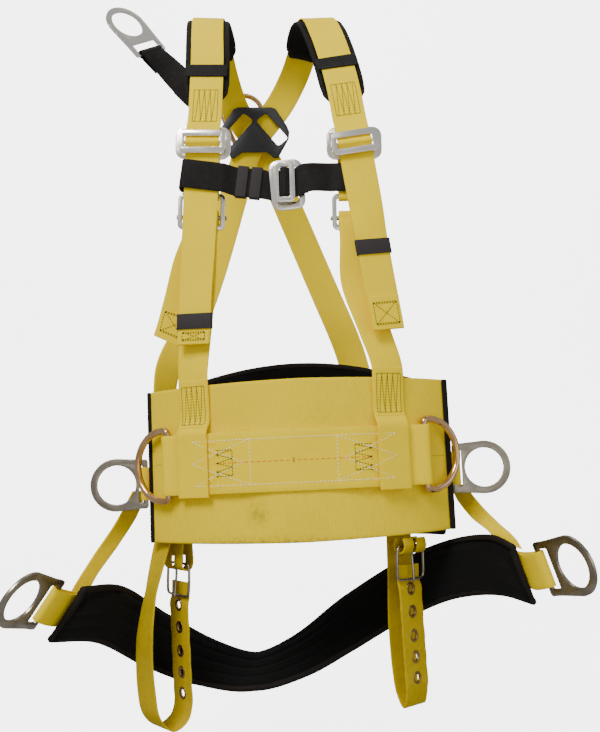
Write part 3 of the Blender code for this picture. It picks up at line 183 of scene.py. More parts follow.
def soil_group():
    """Broad patches of handling and fine specks, as a mask over the piece."""
    tree, given, result = group("soil", [("Place", "Vector", (0, 0, 0)), ("Broad", "Float", 14.0),
                                         ("Fine", "Float", 160.0), ("Amount", "Float", 0.5)],
                                [("Mask", "Float")])
    broad = noise(tree, given["Place"], given["Broad"], 3.0)
    fine = noise(tree, given["Place"], given["Fine"], 2.0)
    patch = wire_up(tree, "ShaderNodeMapRange", {0: broad, 1: 0.40, 2: 0.72}).outputs[0]
    speck = wire_up(tree, "ShaderNodeMapRange", {0: fine, 1: 0.45, 2: 0.75}).outputs[0]
    both = maths(tree, "MULTIPLY_ADD", speck, 0.35, maths(tree, "MULTIPLY", patch, 0.65))
    tree.links.new(maths(tree, "MULTIPLY", both, given["Amount"]), result["Mask"])
    return tree


weave = weave_group()
soil = soil_group()


def cloth(name, colour, shade, soiled, rib=0.0012, pick=0.0024, rough=0.7, sheen=0.0, depth=0.0002,
          amount=0.35, marks=()):
    """Woven cloth: bright on the yarns, shade between them, soiled in patches and at marks.

    A mark is a middle, a reach along each axis, a colour and how strong it is there.
    """
    made, tree, shader, place = blank(name)
    lie = tree.nodes.new("ShaderNodeUVMap")
    lie.uv_map = "cloth"
    yarn = wire_up(tree, "ShaderNodeGroup", node_tree=weave)
    tree.links.new(lie.outputs[0], yarn.inputs["Cloth"])
    yarn.inputs["Rib"].default_value = rib
    yarn.inputs["Pick"].default_value = pick
    dirt = wire_up(tree, "ShaderNodeGroup", node_tree=soil)
    tree.links.new(place, dirt.inputs["Place"])
    dirt.inputs["Amount"].default_value = amount
    woven = blended(tree, yarn.outputs[0], (*shade, 1), (*colour, 1))
    worn = blended(tree, dirt.outputs[0], woven, (*soiled, 1))
    for middle, reach, stain, strength in marks:
        moved = wire_up(tree, "ShaderNodeVectorMath", {0: place, 1: middle}, operation="SUBTRACT").outputs[0]
        scaled = wire_up(tree, "ShaderNodeVectorMath", {0: moved, 1: reach}, operation="DIVIDE").outputs[0]
        away = wire_up(tree, "ShaderNodeVectorMath", {0: scaled}, operation="LENGTH").outputs["Value"]
        near = wire_up(tree, "ShaderNodeMapRange", {0: away, 1: 1.0, 2: 0.0},
                       interpolation_type="SMOOTHSTEP").outputs[0]
        specks = noise(tree, place, 210.0, 4.0)
        spread = {0: specks, 1: 0.42, 2: 0.62, 3: 0.25, 4: 1.0}
        rubbed = wire_up(tree, "ShaderNodeMapRange", spread).outputs[0]
        share = maths(tree, "MULTIPLY", maths(tree, "MULTIPLY", near, rubbed), strength)
        worn = blended(tree, share, worn, (*stain, 1))
    tree.links.new(worn, shader.inputs["Base Color"])
    shader.inputs["Roughness"].default_value = rough
    shader.inputs["Sheen Weight"].default_value = sheen
    shader.inputs["Sheen Roughness"].default_value = 0.4
    shader.inputs["Specular IOR Level"].default_value = 0.12
    bump = wire_up(tree, "ShaderNodeBump", {"Strength": 0.6, "Distance": depth, "Height": yarn.outputs[0]})
    tree.links.new(bump.outputs[0], shader.inputs["Normal"])
    return made


YELLOW = (1.0, 0.74, 0.0)
OCHRE = (0.80, 0.55, 0.0)
SOILED = (0.62, 0.40, 0.01)
yellow_mesh = cloth("yellow_mesh", YELLOW, OCHRE, SOILED, rib=0.0021, pick=0.0019, depth=0.0006, amount=0.3,
                    marks=(((-0.052, -0.115, -0.068), (0.020, 0.05, 0.026), (0.30, 0.20, 0.02), 0.6),
                           ((0.0, -0.115, -0.108), (0.20, 0.10, 0.020), (0.22, 0.13, 0.02), 0.9),
                           ((0.02, -0.115, 0.050), (0.06, 0.05, 0.030), (0.62, 0.47, 0.0), 0.3)))
yellow_webbing = cloth("yellow_webbing", YELLOW, OCHRE, SOILED, amount=0.22)
# Painted shade: the leg webbing's yellow, ochre and soiled colours are darker than the belt webbing's, and
# its soiling is spread wider, for the shadow the leg straps hang in.
leg_webbing_painted_shade = cloth("leg_webbing_painted_shade", (0.66, 0.47, 0.0), (0.44, 0.29, 0.0), (0.25, 0.16, 0.005), amount=0.5)
binding_tape = cloth("binding_tape", (0.014, 0.010, 0.008), (0.005, 0.004, 0.003), (0.03, 0.025, 0.02),
                     rib=0.0008, pick=0.0016)
black_webbing = cloth("black_webbing", (0.014, 0.012, 0.011), (0.004, 0.0035, 0.003), (0.05, 0.045, 0.04),
                      sheen=0.1)


def rows_of(node, first, right):
    """The rows of a strip's solid from its end nearest to first.

    Each row is its middle, its direction across and its width.
    """
    shape = bmesh.new()
    shape.from_mesh(frame["nodes"][node].data)
    bmesh.ops.remove_doubles(shape, verts=shape.verts, dist=0.000001)
    best, left = [], list(shape.verts)
    for edge in shape.edges:
        here = {corner for face in edge.link_faces for corner in face.verts}
        seen, layers = set(), []
        while len(here) == 4:
            layers.append([corner.co.copy() for corner in here])
            seen |= here
            here = {link.other_vert(corner) for corner in here for link in corner.link_edges} - seen
        if len(layers) > len(best):
            best = layers
            left = [corner.co.copy() for corner in shape.verts if corner not in seen]
        if not left:
            break
    if left:
        # two rows met in one plane and lost a corner: the end row is what lies furthest on
        left.sort(key=lambda corner: -(corner - best[-1][0]).length)
        best.append(left[:4])
    shape.free()
    rows, before = [], None
    for corners in best:
        corners = sorted(corners, key=lambda corner: (corner - corners[0]).length)
        sides = [(corners[0] + corners[1]) / 2, (corners[2] + corners[3]) / 2]
        if before and (sides[0] - before[0]).length > (sides[1] - before[0]).length:
            sides.reverse()
        before = sides
        rows.append(sides)
    ends = [((row[0] + row[1]) / 2 - Vector(first)).length for row in (rows[0], rows[-1])]
    if ends[1] < ends[0]:
        rows.reverse()
    turn = (rows[0][1] - rows[0][0]).dot(Vector(right)) < 0
    made = []
    for low, high in rows:
        across = low - high if turn else high - low
        made.append(((low + high) / 2, across.normalized(), across.length))
    return made


def smooth(rows, spacing=0.0025):
    """The same rows with more between them, about this far apart, on one smooth curve."""
    points = [2 * rows[0][0] - rows[1][0], *(row[0] for row in rows), 2 * rows[-1][0] - rows[-2][0]]
    knots = [0.0]
    for here, there in zip(points, points[1:]):
        knots.append(knots[-1] + math.sqrt(max((there - here).length, 0.00001)))
    made = []
    for i in range(1, len(points) - 2):
        p, k = points[i - 1:i + 3], knots[i - 1:i + 3]
        steps = max(2, math.ceil((p[2] - p[1]).length / spacing))
        for step in range(steps):
            t = k[1] + (k[2] - k[1]) * step / steps
            a = [p[j].lerp(p[j + 1], (t - k[j]) / (k[j + 1] - k[j])) for j in range(3)]
            b = [a[j].lerp(a[j + 1], (t - k[j]) / (k[j + 2] - k[j])) for j in range(2)]
            share = step / steps
            across = rows[i - 1][1].lerp(rows[i][1], share).normalized()
            made.append((b[0].lerp(b[1], (t - k[1]) / (k[2] - k[1])), across,
                         rows[i - 1][2] * (1 - share) + rows[i][2] * share))
    return made + [rows[-1]]


def normals(rows):
    """The direction out of the strip's face at each row."""
    last = len(rows) - 1
    return [row[1].cross(rows[min(i + 1, last)][0] - rows[max(i - 1, 0)][0]).normalized()
            for i, row in enumerate(rows)]


def lengths(rows):
    """How far along the strip each row is."""
    made = [0.0]
    for here, there in zip(rows, rows[1:]):
        made.append(made[-1] + (there[0] - here[0]).length)
    return made


def finish(piece, *modifiers):
    """Applies modifiers given as (type, settings), in order."""
    bpy.ops.object.select_all(action="DESELECT")
    bpy.context.view_layer.objects.active = piece
    piece.select_set(True)
    for kind, settings in modifiers:
        change = piece.modifiers.new(kind.lower(), kind)
        for key, value in settings.items():
            setattr(change, key, value)
        bpy.ops.object.modifier_apply(modifier=change.name)


def sheet(name, rows, columns, place):
    """A grid laid on the rows by place(row number, share across from -1 to 1), with its lie as a UV map."""
    bpy.ops.object.select_all(action="DESELECT")
    bpy.ops.mesh.primitive_grid_add(x_subdivisions=len(rows) - 1, y_subdivisions=columns, size=2)
    piece = bpy.context.object
    piece.name = name
    along = lengths(rows)
    lie = piece.data.uv_layers[0]
    lie.name = "cloth"
    spots = {}
    for corner in piece.data.vertices:
        row = round((corner.co.x + 1) / 2 * (len(rows) - 1))
        side = corner.co.y
        spots[corner.index] = (side * rows[row][2] / 2, along[row])
        corner.co = place(row, side)
    for loop in piece.data.loops:
        lie.data[loop.index].uv = spots[loop.vertex_index]
    return piece


def strip(name, rows, thickness, material, columns=8, edge=0.0005):
    """A length of cloth along its rows, with its thickness and softened edges."""
    piece = sheet(name, rows, columns,
                  lambda row, side: rows[row][0] + rows[row][1] * (side * rows[row][2] / 2))
    piece.data.materials.append(material)
    finish(piece, ("SOLIDIFY", dict(thickness=thickness, offset=0.0, use_even_offset=True)),
           ("BEVEL", dict(width=edge, segments=2, limit_method="ANGLE", angle_limit=math.radians(50))))
    bpy.ops.object.shade_smooth_by_angle(angle=math.radians(60))
    return piece


def settle(piece, *nodes):
    """The piece stands for its nodes, which it hides, and rides with their body."""
    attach(piece, BODY_OF[nodes[0]])
    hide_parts(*nodes)
    return piece


def attend(piece, node):
    """The piece goes with a node that another piece stands for."""
    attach(piece, BODY_OF[node])
    return piece


PANEL_THICK = 0.0060
panel_rows = smooth(rows_of("belly_panel", (-0.2, 0, 0), (0, 0, 1)), 0.004)
panel_out = normals(panel_rows)
panel = strip("belly_panel_cloth", panel_rows, PANEL_THICK - 0.0004, yellow_mesh, columns=40, edge=0.0016)
for spot in panel.data.uv_layers["cloth"].data:
    spot.uv = (spot.uv[1], spot.uv[0])          # the mesh's ribs stand upright
settle(panel, "belly_panel")


def edging(name, points, thickness, reach, material, closed=False):
    """Tape folded over a pad's edge. Each point is (edge point, direction outwards, face direction)."""
    half = thickness / 2 + 0.0005
    section = [(-reach, half), (-reach * 0.5, half + 0.0002), (0.0, half * 0.9), (0.0013, half * 0.45),
               (0.0017, 0.0), (0.0013, -half * 0.45), (0.0, -half * 0.9), (-reach * 0.5, -half - 0.0002),
               (-reach, -half)]
    if closed:
        points = points + points[:1]
    rows = [(point, out, 0.012) for point, out, face in points]

    def place(row, side):
        point, out, face = points[row]
        u, v = section[round((side + 1) / 2 * (len(section) - 1))]
        return point + out * u + face * v
    piece = sheet(name, rows, len(section) - 1, place)
    piece.data.materials.append(material)
    if closed:
        finish(piece, ("WELD", dict(merge_threshold=0.00001)))
    finish(piece, ("SOLIDIFY", dict(thickness=0.0006, offset=1.0)),
           ("SUBSURF", dict(levels=1, render_levels=1)))
    bpy.ops.object.mode_set(mode="EDIT")
    bpy.ops.mesh.select_all(action="SELECT")
    bpy.ops.mesh.normals_make_consistent(inside=False)
    bpy.ops.object.mode_set(mode="OBJECT")
    bpy.ops.object.shade_smooth()
    return piece


for side, row, inner, reach in (("left", 0, 1, 0.0095), ("right", -1, -2, 0.0130)):
    middle, up, height = panel_rows[row]
    away = (middle - panel_rows[inner][0]).normalized()
    points = [(middle + up * (height / 2 + 0.0006) * share - away * 0.0010, away, panel_out[row])
              for share in (s / 20 for s in range(-20, 21))]
    attend(edging(f"panel_binding_{side}", points, PANEL_THICK, reach, binding_tape), "belly_panel")

# ---- waist belt -----------------------------------------------------------------------------------
# Wide yellow belt webbing across the panel. Each end is folded round a forged ring's bar and sewn
# down; behind, another length runs round the lumbar pad and in behind the panel's ends.
BELT_THICK = 0.0030
belt_rows = smooth(rows_of("front_belt", (-0.1, -0.13, 0), (0, 0, 1)))
settle(strip("front_belt_webbing", belt_rows, BELT_THICK, yellow_webbing, columns=12), "front_belt")
rear_rows = smooth(rows_of("rear_belt", (-0.2, 0, 0), (0, 0, 1)), 0.004)
settle(strip("rear_belt_webbing", rear_rows, BELT_THICK, yellow_webbing, columns=12), "rear_belt")
for side in SIDES:
    rows = smooth(rows_of(f"hip_loop_{side}", (0, 0.2, 0), (0, 0, 1)))
    settle(strip(f"hip_loop_{side}_webbing", rows, 0.0020, yellow_webbing), f"hip_loop_{side}")


# ---- padding --------------------------------------------------------------------------------------
# Black foam pads behind the waist, under the shoulder straps and along the seat. Each is swollen by
# its filling, quilted along its length, and bound round its edge.
def velour(name, colour, bright):
    """Short pile: nearly black, a little paler where it catches the light and where lint lies."""
    made, tree, shader, place = blank(name)
    pile = noise(tree, place, 900.0, 2.0)
    dirt = wire_up(tree, "ShaderNodeGroup", node_tree=soil)
    tree.links.new(place, dirt.inputs["Place"])
    dirt.inputs["Amount"].default_value = 0.5
    dirt.inputs["Fine"].default_value = 420.0
    tree.links.new(blended(tree, dirt.outputs[0], (*colour, 1), (*bright, 1)), shader.inputs["Base Color"])
    shader.inputs["Roughness"].default_value = 0.95
    shader.inputs["Sheen Weight"].default_value = 0.05
    shader.inputs["Specular IOR Level"].default_value = 0.15
    bump = wire_up(tree, "ShaderNodeBump", {"Strength": 0.5, "Distance": 0.0004, "Height": pile})
    tree.links.new(bump.outputs[0], shader.inputs["Normal"])
    return made


black_velour = velour("black_velour", (0.0022, 0.0020, 0.0018), (0.0065, 0.0058, 0.0052))


def cushion(name, rows, thickness, cap, voxel, channels, depth):
    """A pad swollen by its filling, then sewn along channels given as shares across."""
    inner = [(middle, across, width - 0.004) for middle, across, width in rows]
    piece = strip(name, inner, thickness - 2 * cap, black_velour, columns=12, edge=0.0012)
    finish(piece, ("REMESH", dict(mode="VOXEL", voxel_size=voxel)))
    rest = [corner.co.copy() for corner in piece.data.vertices]
    swell = piece.modifiers.new("filling", "CLOTH")
    swell.settings.use_pressure = True
    swell.settings.uniform_pressure_force = 4
    swell.settings.effector_weights.gravity = 0
    for step in range(1, 21):
        bpy.context.scene.frame_set(step)
    bpy.ops.object.modifier_apply(modifier="filling")
    bpy.context.scene.frame_set(1)
    for corner, start in zip(piece.data.vertices, rest):
        move = corner.co - start
        corner.co = start + move * min(1.0, cap / max(move.length, 0.000001))
    finish(piece, ("SUBSURF", dict(levels=1, render_levels=1)))
    tree = KDTree(len(rows))
    for number, row in enumerate(rows):
        tree.insert(row[0], number)
    tree.balance()
    out = normals(rows)
    for corner in piece.data.vertices:
        number = tree.find(corner.co)[1]
        middle, across, width = rows[number]
        share = (corner.co - middle).dot(across) / (width / 2)
        face = 1 if (corner.co - middle).dot(out[number]) > 0 else -1
        near = min(abs(share - channel) for channel in channels) * width / 2
        corner.co -= out[number] * face * depth * math.exp(-(near / 0.0022) ** 2)
    bpy.ops.object.shade_smooth()
    return piece


def round_edge(rows):
    """The pad's outline as (edge point, direction outwards, face direction), once round."""
    out = normals(rows)
    last = len(rows) - 1
    made = [(rows[i][0] + rows[i][1] * rows[i][2] / 2, rows[i][1], out[i]) for i in range(last + 1)]
    steps = 10
    for end, run in ((last, 1), (0, -1)):
        middle, across, width = rows[end]
        away = (rows[end][0] - rows[end - run][0]).normalized()
        shares = [1 - 2 * step / steps for step in range(1, steps)]
        made += [(middle + across * run * share * width / 2, away, out[end]) for share in shares]
        if end:
            made += [(rows[i][0] - rows[i][1] * rows[i][2] / 2, -rows[i][1], out[i])
                     for i in range(last, -1, -1)]
    return made


def pad(node, first, right, thickness, cap, voxel, channels, tape, depth=0.0010, spacing=0.004):
    rows = smooth(rows_of(node, first, right), spacing)
    piece = settle(cushion(f"{node}_foam", rows, thickness, cap, voxel, channels, depth), node)
    bound = [(point - out * 0.0022, out, face) for point, out, face in round_edge(rows)]
    attend(edging(f"{node}_binding", bound, thickness * 0.62, tape, binding_tape, closed=True), node)


pad("lumbar_pad", (-0.2, 0, 0), (0, 0, 1), 0.0120, 0.0022, 0.0050, (-0.62, -0.2, 0.2, 0.62), 0.0060,
    spacing=0.006)
pad("seat_pad", (-0.3, 0, -0.2), (0, 0, 1), 0.0120, 0.0025, 0.0042, (-0.42, 0.0, 0.42), 0.0055)
for side in SIDES:
    pad(f"shoulder_pad_{side}", (0, -0.1, 0.45), (1, 0, 0), 0.0080, 0.0012, 0.0030, (-0.9, 0.9), 0.0085,
        depth=0.0005)

# ---- shoulder straps, links and risers ------------------------------------------------------------
# Lengths of 44.5 mm webbing: the shoulder straps from their folded tails over the shoulders to the
# belt behind, the sewn loops between the adjusters, and the risers that come up from the belt.
WEB_THICK = 0.0020
WEB_WIDTH = 0.0445
strap_rows, riser_rows = {}, {}
for side in SIDES:
    strap_rows[side] = smooth(rows_of(f"shoulder_strap_{side}", (0, -0.1, 0.15), (1, 0, 0)))
    settle(strip(f"shoulder_strap_{side}_webbing", strap_rows[side], WEB_THICK, yellow_webbing),
           f"shoulder_strap_{side}")
    rows = smooth(rows_of(f"link_strap_{side}", (0, 0, 0.36), (1, 0, 0)), 0.0015)
    settle(strip(f"link_strap_{side}_webbing", rows, WEB_THICK, yellow_webbing), f"link_strap_{side}")
    riser_rows[side] = smooth(rows_of(f"riser_strap_{side}", (0, -0.12, -0.04), (1, 0, 0)), 0.002)
    settle(strip(f"riser_strap_{side}_webbing", riser_rows[side], WEB_THICK, yellow_webbing),
           f"riser_strap_{side}")


# ---- stitching, hems and bands --------------------------------------------------------------------
# Box and zigzag stitches in black thread where straps are sewn, white thread where the belt is sewn to
# the panel, and guide lines woven in red and green. Thread is a little over 1 mm thick.
def thread(name, colour, dark):
    made, tree, shader, place = blank(name)
    twist = noise(tree, place, 1400.0, 1.0)
    tree.links.new(blended(tree, twist, (*dark, 1), (*colour, 1)), shader.inputs["Base Color"])
    shader.inputs["Roughness"].default_value = 0.6
    return made


def sewing_place(rows, start, out, lift):
    """Where things lie on a strip's face: a function of the distance across and along from start."""
    along = lengths(rows)
    first = min(range(len(rows)), key=lambda i: (rows[i][0] - Vector(start)).length)
    faces = normals(rows)
    sign = 1 if faces[first].dot(Vector(out)) > 0 else -1

    def place(across, ahead):
        wanted = min(max(along[first] + ahead, along[0]), along[-1] - 0.000001)
        i = max(0, int(np.searchsorted(along, wanted)) - 1)
        share = (wanted - along[i]) / max(along[i + 1] - along[i], 0.000001)
        middle = rows[i][0].lerp(rows[i + 1][0], share)
        face = faces[i].lerp(faces[i + 1], share).normalized() * sign
        return middle + rows[i][1] * across + face * lift, face
    return place


bpy.ops.mesh.primitive_ico_sphere_add(subdivisions=1, radius=1)
grain = bpy.context.object
STITCH_CORNERS = [corner.co.copy() for corner in grain.data.vertices]
STITCH_FACES = [tuple(face.vertices) for face in grain.data.polygons]
bpy.data.objects.remove(grain)


def stitches(name, node, runs, material, length=0.0028, gap=0.0008, thick=0.00058):
    """One piece of thread: every run is a place and a list of lines of (across, along) points."""
    corners, faces = [], []
    for place, lines in runs:
        for line in lines:
            for (x0, y0), (x1, y1) in zip(line, line[1:]):
                reach = math.hypot(x1 - x0, y1 - y0)
                count = max(1, round(reach / (length + gap)))
                for number in range(count):
                    rest = gap / (length + gap) / 2
                    shares = ((number + rest) / count, (number + 1 - rest) / count)
                    ends = [place(x0 + (x1 - x0) * share, y0 + (y1 - y0) * share) for share in shares]
                    run = ends[1][0] - ends[0][0]
                    if run.length < 0.0002:
                        continue
                    face = ends[0][1]
                    side = face.cross(run).normalized()
                    middle = (ends[0][0] + ends[1][0]) / 2
                    base = len(corners)
                    corners += [middle + run * 0.55 * c.x + side * thick * c.y + face * thick * c.z
                                for c in STITCH_CORNERS]
                    faces += [tuple(base + corner for corner in f) for f in STITCH_FACES]
    mesh = bpy.data.meshes.new(name)
    mesh.from_pydata(corners, [], faces)
    mesh.update()
    piece = bpy.data.objects.new(name, mesh)
    bpy.context.collection.objects.link(piece)
    mesh.shade_smooth()
    piece.data.materials.append(material)
    return attend(piece, node)


def zigzag_box(width, height, strokes=7):
    """A stitched box filled with a zigzag along its height."""
    x, y = width / 2, height / 2
    box = [(-x, -y), (x, -y), (x, y), (-x, y), (-x, -y)]
    inner = x * 0.80
    zigzag = [(-inner + 2 * inner * i / strokes, y if i % 2 else -y) for i in range(strokes + 1)]
    return [box, zigzag]


def cross_box(width, height):
    """A stitched box with a cross in it, its ends sewn twice."""
    x, y = width / 2, height / 2
    second = y - 0.0016
    return [[(-x, -y), (x, -y), (x, y), (-x, y), (-x, -y)], [(-x, -y), (x, y)], [(x, -y), (-x, y)],
            [(-x, -second), (x, -second)], [(-x, second), (x, second)]]


def patch(name, node, rows, start, out, reach, width, lift, thickness, material):
    """A short piece laid over a strip: reach is how far it runs back and ahead of start."""
    place = sewing_place(rows, start, out, lift)
    count = max(2, round((reach[1] - reach[0]) / 0.0015))
    made = []
    for number in range(count + 1):
        ahead = reach[0] + (reach[1] - reach[0]) * number / count
        point, face = place(0.0, ahead)
        side = place(0.01, ahead)[0] - point
        made.append((point, side.normalized(), width))
    piece = strip(name, made, thickness, material)
    attend(piece, node)
    return made


black_thread = thread("black_thread", (0.012, 0.013, 0.004), (0.003, 0.003, 0.001))
white_thread = thread("white_thread", (1.0, 0.98, 0.86), (0.95, 0.88, 0.60))
red_thread = thread("red_thread", (0.95, 0.10, 0.005), (0.75, 0.06, 0.0))
green_thread = thread("green_thread", (0.03, 0.10, 0.01), (0.015, 0.05, 0.005))
FRONT = (0, -1, 0)
ON_WEB = WEB_THICK / 2 + 0.0001
ON_BELT = BELT_THICK / 2 + 0.0001
HEM = WEB_THICK + 0.0001
runs = []
for side, riser_box, strap_box in (("left", (-0.1335, -0.125, 0.0665), (-0.128, -0.085, 0.4680)),
                                   ("right", (0.1150, -0.125, 0.0830), (0.064, -0.085, 0.4800))):
    doubled = patch(f"riser_hem_{side}", f"riser_strap_{side}", riser_rows[side], riser_box, FRONT,
                    (-0.0300, 0.0325), WEB_WIDTH - 0.0012, 0.0008, 0.0018, yellow_webbing)
    runs.append((sewing_place(doubled, riser_box, FRONT, 0.0010), zigzag_box(0.0345, 0.0500)))
    runs.append((sewing_place(strap_rows[side], strap_box, FRONT, ON_WEB), zigzag_box(0.0320, 0.0480)))
left_end = patch("tail_hem_left", "shoulder_strap_left", strap_rows["left"], (-0.1350, -0.1010, 0.1455),
                 FRONT, (0.0003, 0.0165), WEB_WIDTH - 0.0020, HEM, WEB_THICK, yellow_webbing)
right_end = patch("tail_hem_right", "shoulder_strap_right", strap_rows["right"], (0.1130, -0.1010, 0.1650),
                  FRONT, (0.0003, 0.0440), WEB_WIDTH - 0.0020, HEM, WEB_THICK, yellow_webbing)
runs.append((sewing_place(left_end, (-0.1348, -0.1040, 0.1560), FRONT, ON_WEB), cross_box(0.0310, 0.0110)))
runs.append((sewing_place(right_end, (0.1100, -0.1040, 0.1870), FRONT, ON_WEB), cross_box(0.0330, 0.0290)))
runs.append((sewing_place(riser_rows["left"], (-0.1640, -0.0645, 0.1760), FRONT, ON_WEB),
             cross_box(0.0330, 0.0280)))
for side in SIDES:
    at = {"left": (-0.1270, -0.0600, 0.5162), "right": (0.0479, -0.0600, 0.5330)}[side]
    patch(f"pad_band_{side}", f"shoulder_pad_{side}", strap_rows[side], at, FRONT, (-0.0100, 0.0100),
          WEB_WIDTH + 0.0100, WEB_THICK + 0.0002, 0.0018, black_webbing)
    stitches(f"pad_edge_line_{side}", f"shoulder_pad_{side}",
             [(sewing_place(strap_rows[side], at, FRONT, ON_WEB), [[(-0.0215, 0.0112), (0.0215, 0.0112)]])],
             green_thread, length=0.0060, gap=0.0004)
stitches("black_stitching", "shoulder_strap_left", runs, black_thread)


def stepped(low, high, edge, sign):
    """Lies on the belt, and past this far along it on the riser that crosses it."""
    return lambda across, ahead: (high if ahead * sign > edge else low)(across, ahead)


white = []
for side, start, sign in (("left", (-0.1026, -0.1260, 0.0019), -1), ("right", (0.0841, -0.1260, 0.0105), 1)):
    beside = min(riser_rows[side], key=lambda row: (row[0] - Vector(start)).length)[0]
    under, face = sewing_place(belt_rows, beside, FRONT, 0.0)(0.0, 0.0)
    on_riser = (beside - under).dot(face) + WEB_THICK / 2 + 0.0003
    low, high = (sewing_place(belt_rows, start, FRONT, lift) for lift in (ON_BELT, on_riser))
    place = stepped(low, high, 0.0085, sign)
    box = [[(across, sign * ahead) for ahead, across in line]
           for line in ([(0.0090, -0.0160), (-0.0120, -0.0160), (-0.0120, 0.0160), (0.0090, 0.0160)],
                        [(-0.0120, -0.0160), (0.0090, -0.0107), (-0.0120, -0.0053), (0.0090, 0.0),
                         (-0.0120, 0.0053), (0.0090, 0.0107), (-0.0120, 0.0160)])]
    stitches(f"belt_box_{side}", "front_belt", [(place, box)], black_thread)
    vees = [(-0.0340, 0.0280), (0.0420, 0.0), (-0.0340, -0.0280), (-0.0340, 0.0280), (0.0420, 0.0280),
            (-0.0250, 0.0), (0.0380, -0.0280), (-0.0340, -0.0280)]
    white.append((place, [[(across, sign * ahead) for ahead, across in vees]]))
middle = sewing_place(belt_rows, (0.0, -0.1300, 0.0060), FRONT, ON_BELT)
white.append((middle, [[(0.0280, -0.0640), (0.0280, 0.0460)], [(-0.0280, -0.0640), (-0.0280, 0.0460)]]))
stitches("white_stitching", "front_belt", white, white_thread, length=0.0036, gap=0.0012, thick=0.00055)
stitches("centre_line", "front_belt", [(middle, [[(0.0, -0.1060), (0.0, 0.0900)]])], red_thread,
         length=0.0048, gap=0.0024, thick=0.00055)
stitches("centre_mark", "front_belt", [(middle, [[(-0.0040, -0.0075), (0.0040, -0.0075)]])], black_thread)
GUIDE_HALF = 0.0170
for side, start in (("left", (-0.1900, -0.0700, -0.0060)), ("right", (0.1900, -0.0700, 0.0060))):
    place = sewing_place(panel_rows, start, FRONT, PANEL_THICK / 2)
    nearest = min(panel_rows, key=lambda row: (row[0] - Vector(start)).length)
    drop = start[2] - nearest[0].z
    stitches(f"guide_line_{side}", "belly_panel", [(place, [[(drop, -GUIDE_HALF), (drop, GUIDE_HALF)]])],
             green_thread, length=0.0030, gap=0.0018, thick=0.00040)

# ---- chest strap and dorsal extension -------------------------------------------------------------
# Black webbing, 38 mm wide across the chest and 44.5 mm wide on the extension, which is gathered
# where it loops through the dorsal ring. Tight black sleeves keep the loose ends down.
for node, first, right in (("chest_strap_left", (-0.1, 0, 0.36), (0, 0, 1)),
                           ("chest_strap_right", (0, 0, 0.36), (0, 0, 1)),
                           ("extension_strap", (-0.2, 0.2, 0.62), (0, 0, 1))):
    rows = smooth(rows_of(node, first, right), 0.0018)
    settle(strip(f"{node}_webbing", rows, WEB_THICK, black_webbing), node)


def copied(node, name):
    """A node's own shape as a new piece, its corners merged and its flat faces whole."""
    piece = frame["nodes"][node].copy()
    piece.data = piece.data.copy()
    bpy.context.collection.objects.link(piece)
    piece.name = name
    piece.parent = None
    for key in list(piece.keys()):
        del piece[key]
    piece.data.materials.clear()
    shape = bmesh.new()
    shape.from_mesh(piece.data)
    bmesh.ops.remove_doubles(shape, verts=shape.verts, dist=0.000002)
    bmesh.ops.dissolve_limit(shape, angle_limit=math.radians(1.5), verts=shape.verts, edges=shape.edges)
    shape.to_mesh(piece.data)
    shape.free()
    return piece


def softened(node, material, width, segments=3):
    """A node's shape with its edges rounded."""
    piece = copied(node, f"{node}_finished")
    piece.data.materials.append(material)
    finish(piece, ("BEVEL", dict(width=width, segments=segments, limit_method="ANGLE",
                                 angle_limit=math.radians(40),
                                 harden_normals=False)))
    bpy.ops.object.shade_smooth_by_angle(angle=math.radians(38))
    return settle(piece, node)


def elastic(name):
    """Fine ribbed elastic, on the piece's own coordinates."""
    made, tree, shader, place = blank(name)
    ribs = wire_up(tree, "ShaderNodeTexWave", {"Vector": place, "Scale": 260.0, "Distortion": 0.4},
                   bands_direction="Z").outputs[1]
    tree.links.new(blended(tree, ribs, (0.010, 0.008, 0.007, 1), (0.035, 0.028, 0.025, 1)),
                   shader.inputs["Base Color"])
    shader.inputs["Roughness"].default_value = 0.8
    bump = wire_up(tree, "ShaderNodeBump", {"Strength": 0.5, "Distance": 0.0002, "Height": ribs})
    tree.links.new(bump.outputs[0], shader.inputs["Normal"])
    return made


black_elastic = elastic("black_elastic")
for node in ("tail_keeper_left", "tail_keeper_right", "chest_keeper_1", "chest_keeper_2"):
    softened(node, black_elastic, 0.0003, 2)


# ---- buckles, links and flat rings ----------------------------------------------------------------
# Plate steel, punched, tumbled and plated: pale zinc on the adjusters, chest buckle and extension
# ring, browner nickel on the flat hip and seat rings. Edges are rounded by tumbling.
def worn_metal_group():
    """Tumbled plating: soft mottling in the gloss, a grainy surface and patches of dulling."""
    tree, given, result = group("worn_metal", [("Place", "Vector", (0, 0, 0)), ("Smooth", "Float", 0.25),
                                               ("Dull", "Float", 0.45)],
                                [("Roughness", "Float"), ("Height", "Float"), ("Patch", "Float")])
    mottle = noise(tree, given["Place"], 45.0, 5.0)
    grain = noise(tree, given["Place"], 1500.0, 2.0)
    share = wire_up(tree, "ShaderNodeMapRange", {0: mottle, 1: 0.35, 2: 0.7}).outputs[0]
    rough = wire_up(tree, "ShaderNodeMapRange", {0: mottle, 1: 0.35, 2: 0.7, 3: given["Smooth"],
                                                 4: given["Dull"]})
    tree.links.new(rough.outputs[0], result["Roughness"])
    tree.links.new(grain, result["Height"])
    tree.links.new(share, result["Patch"])
    return tree


worn_metal = worn_metal_group()


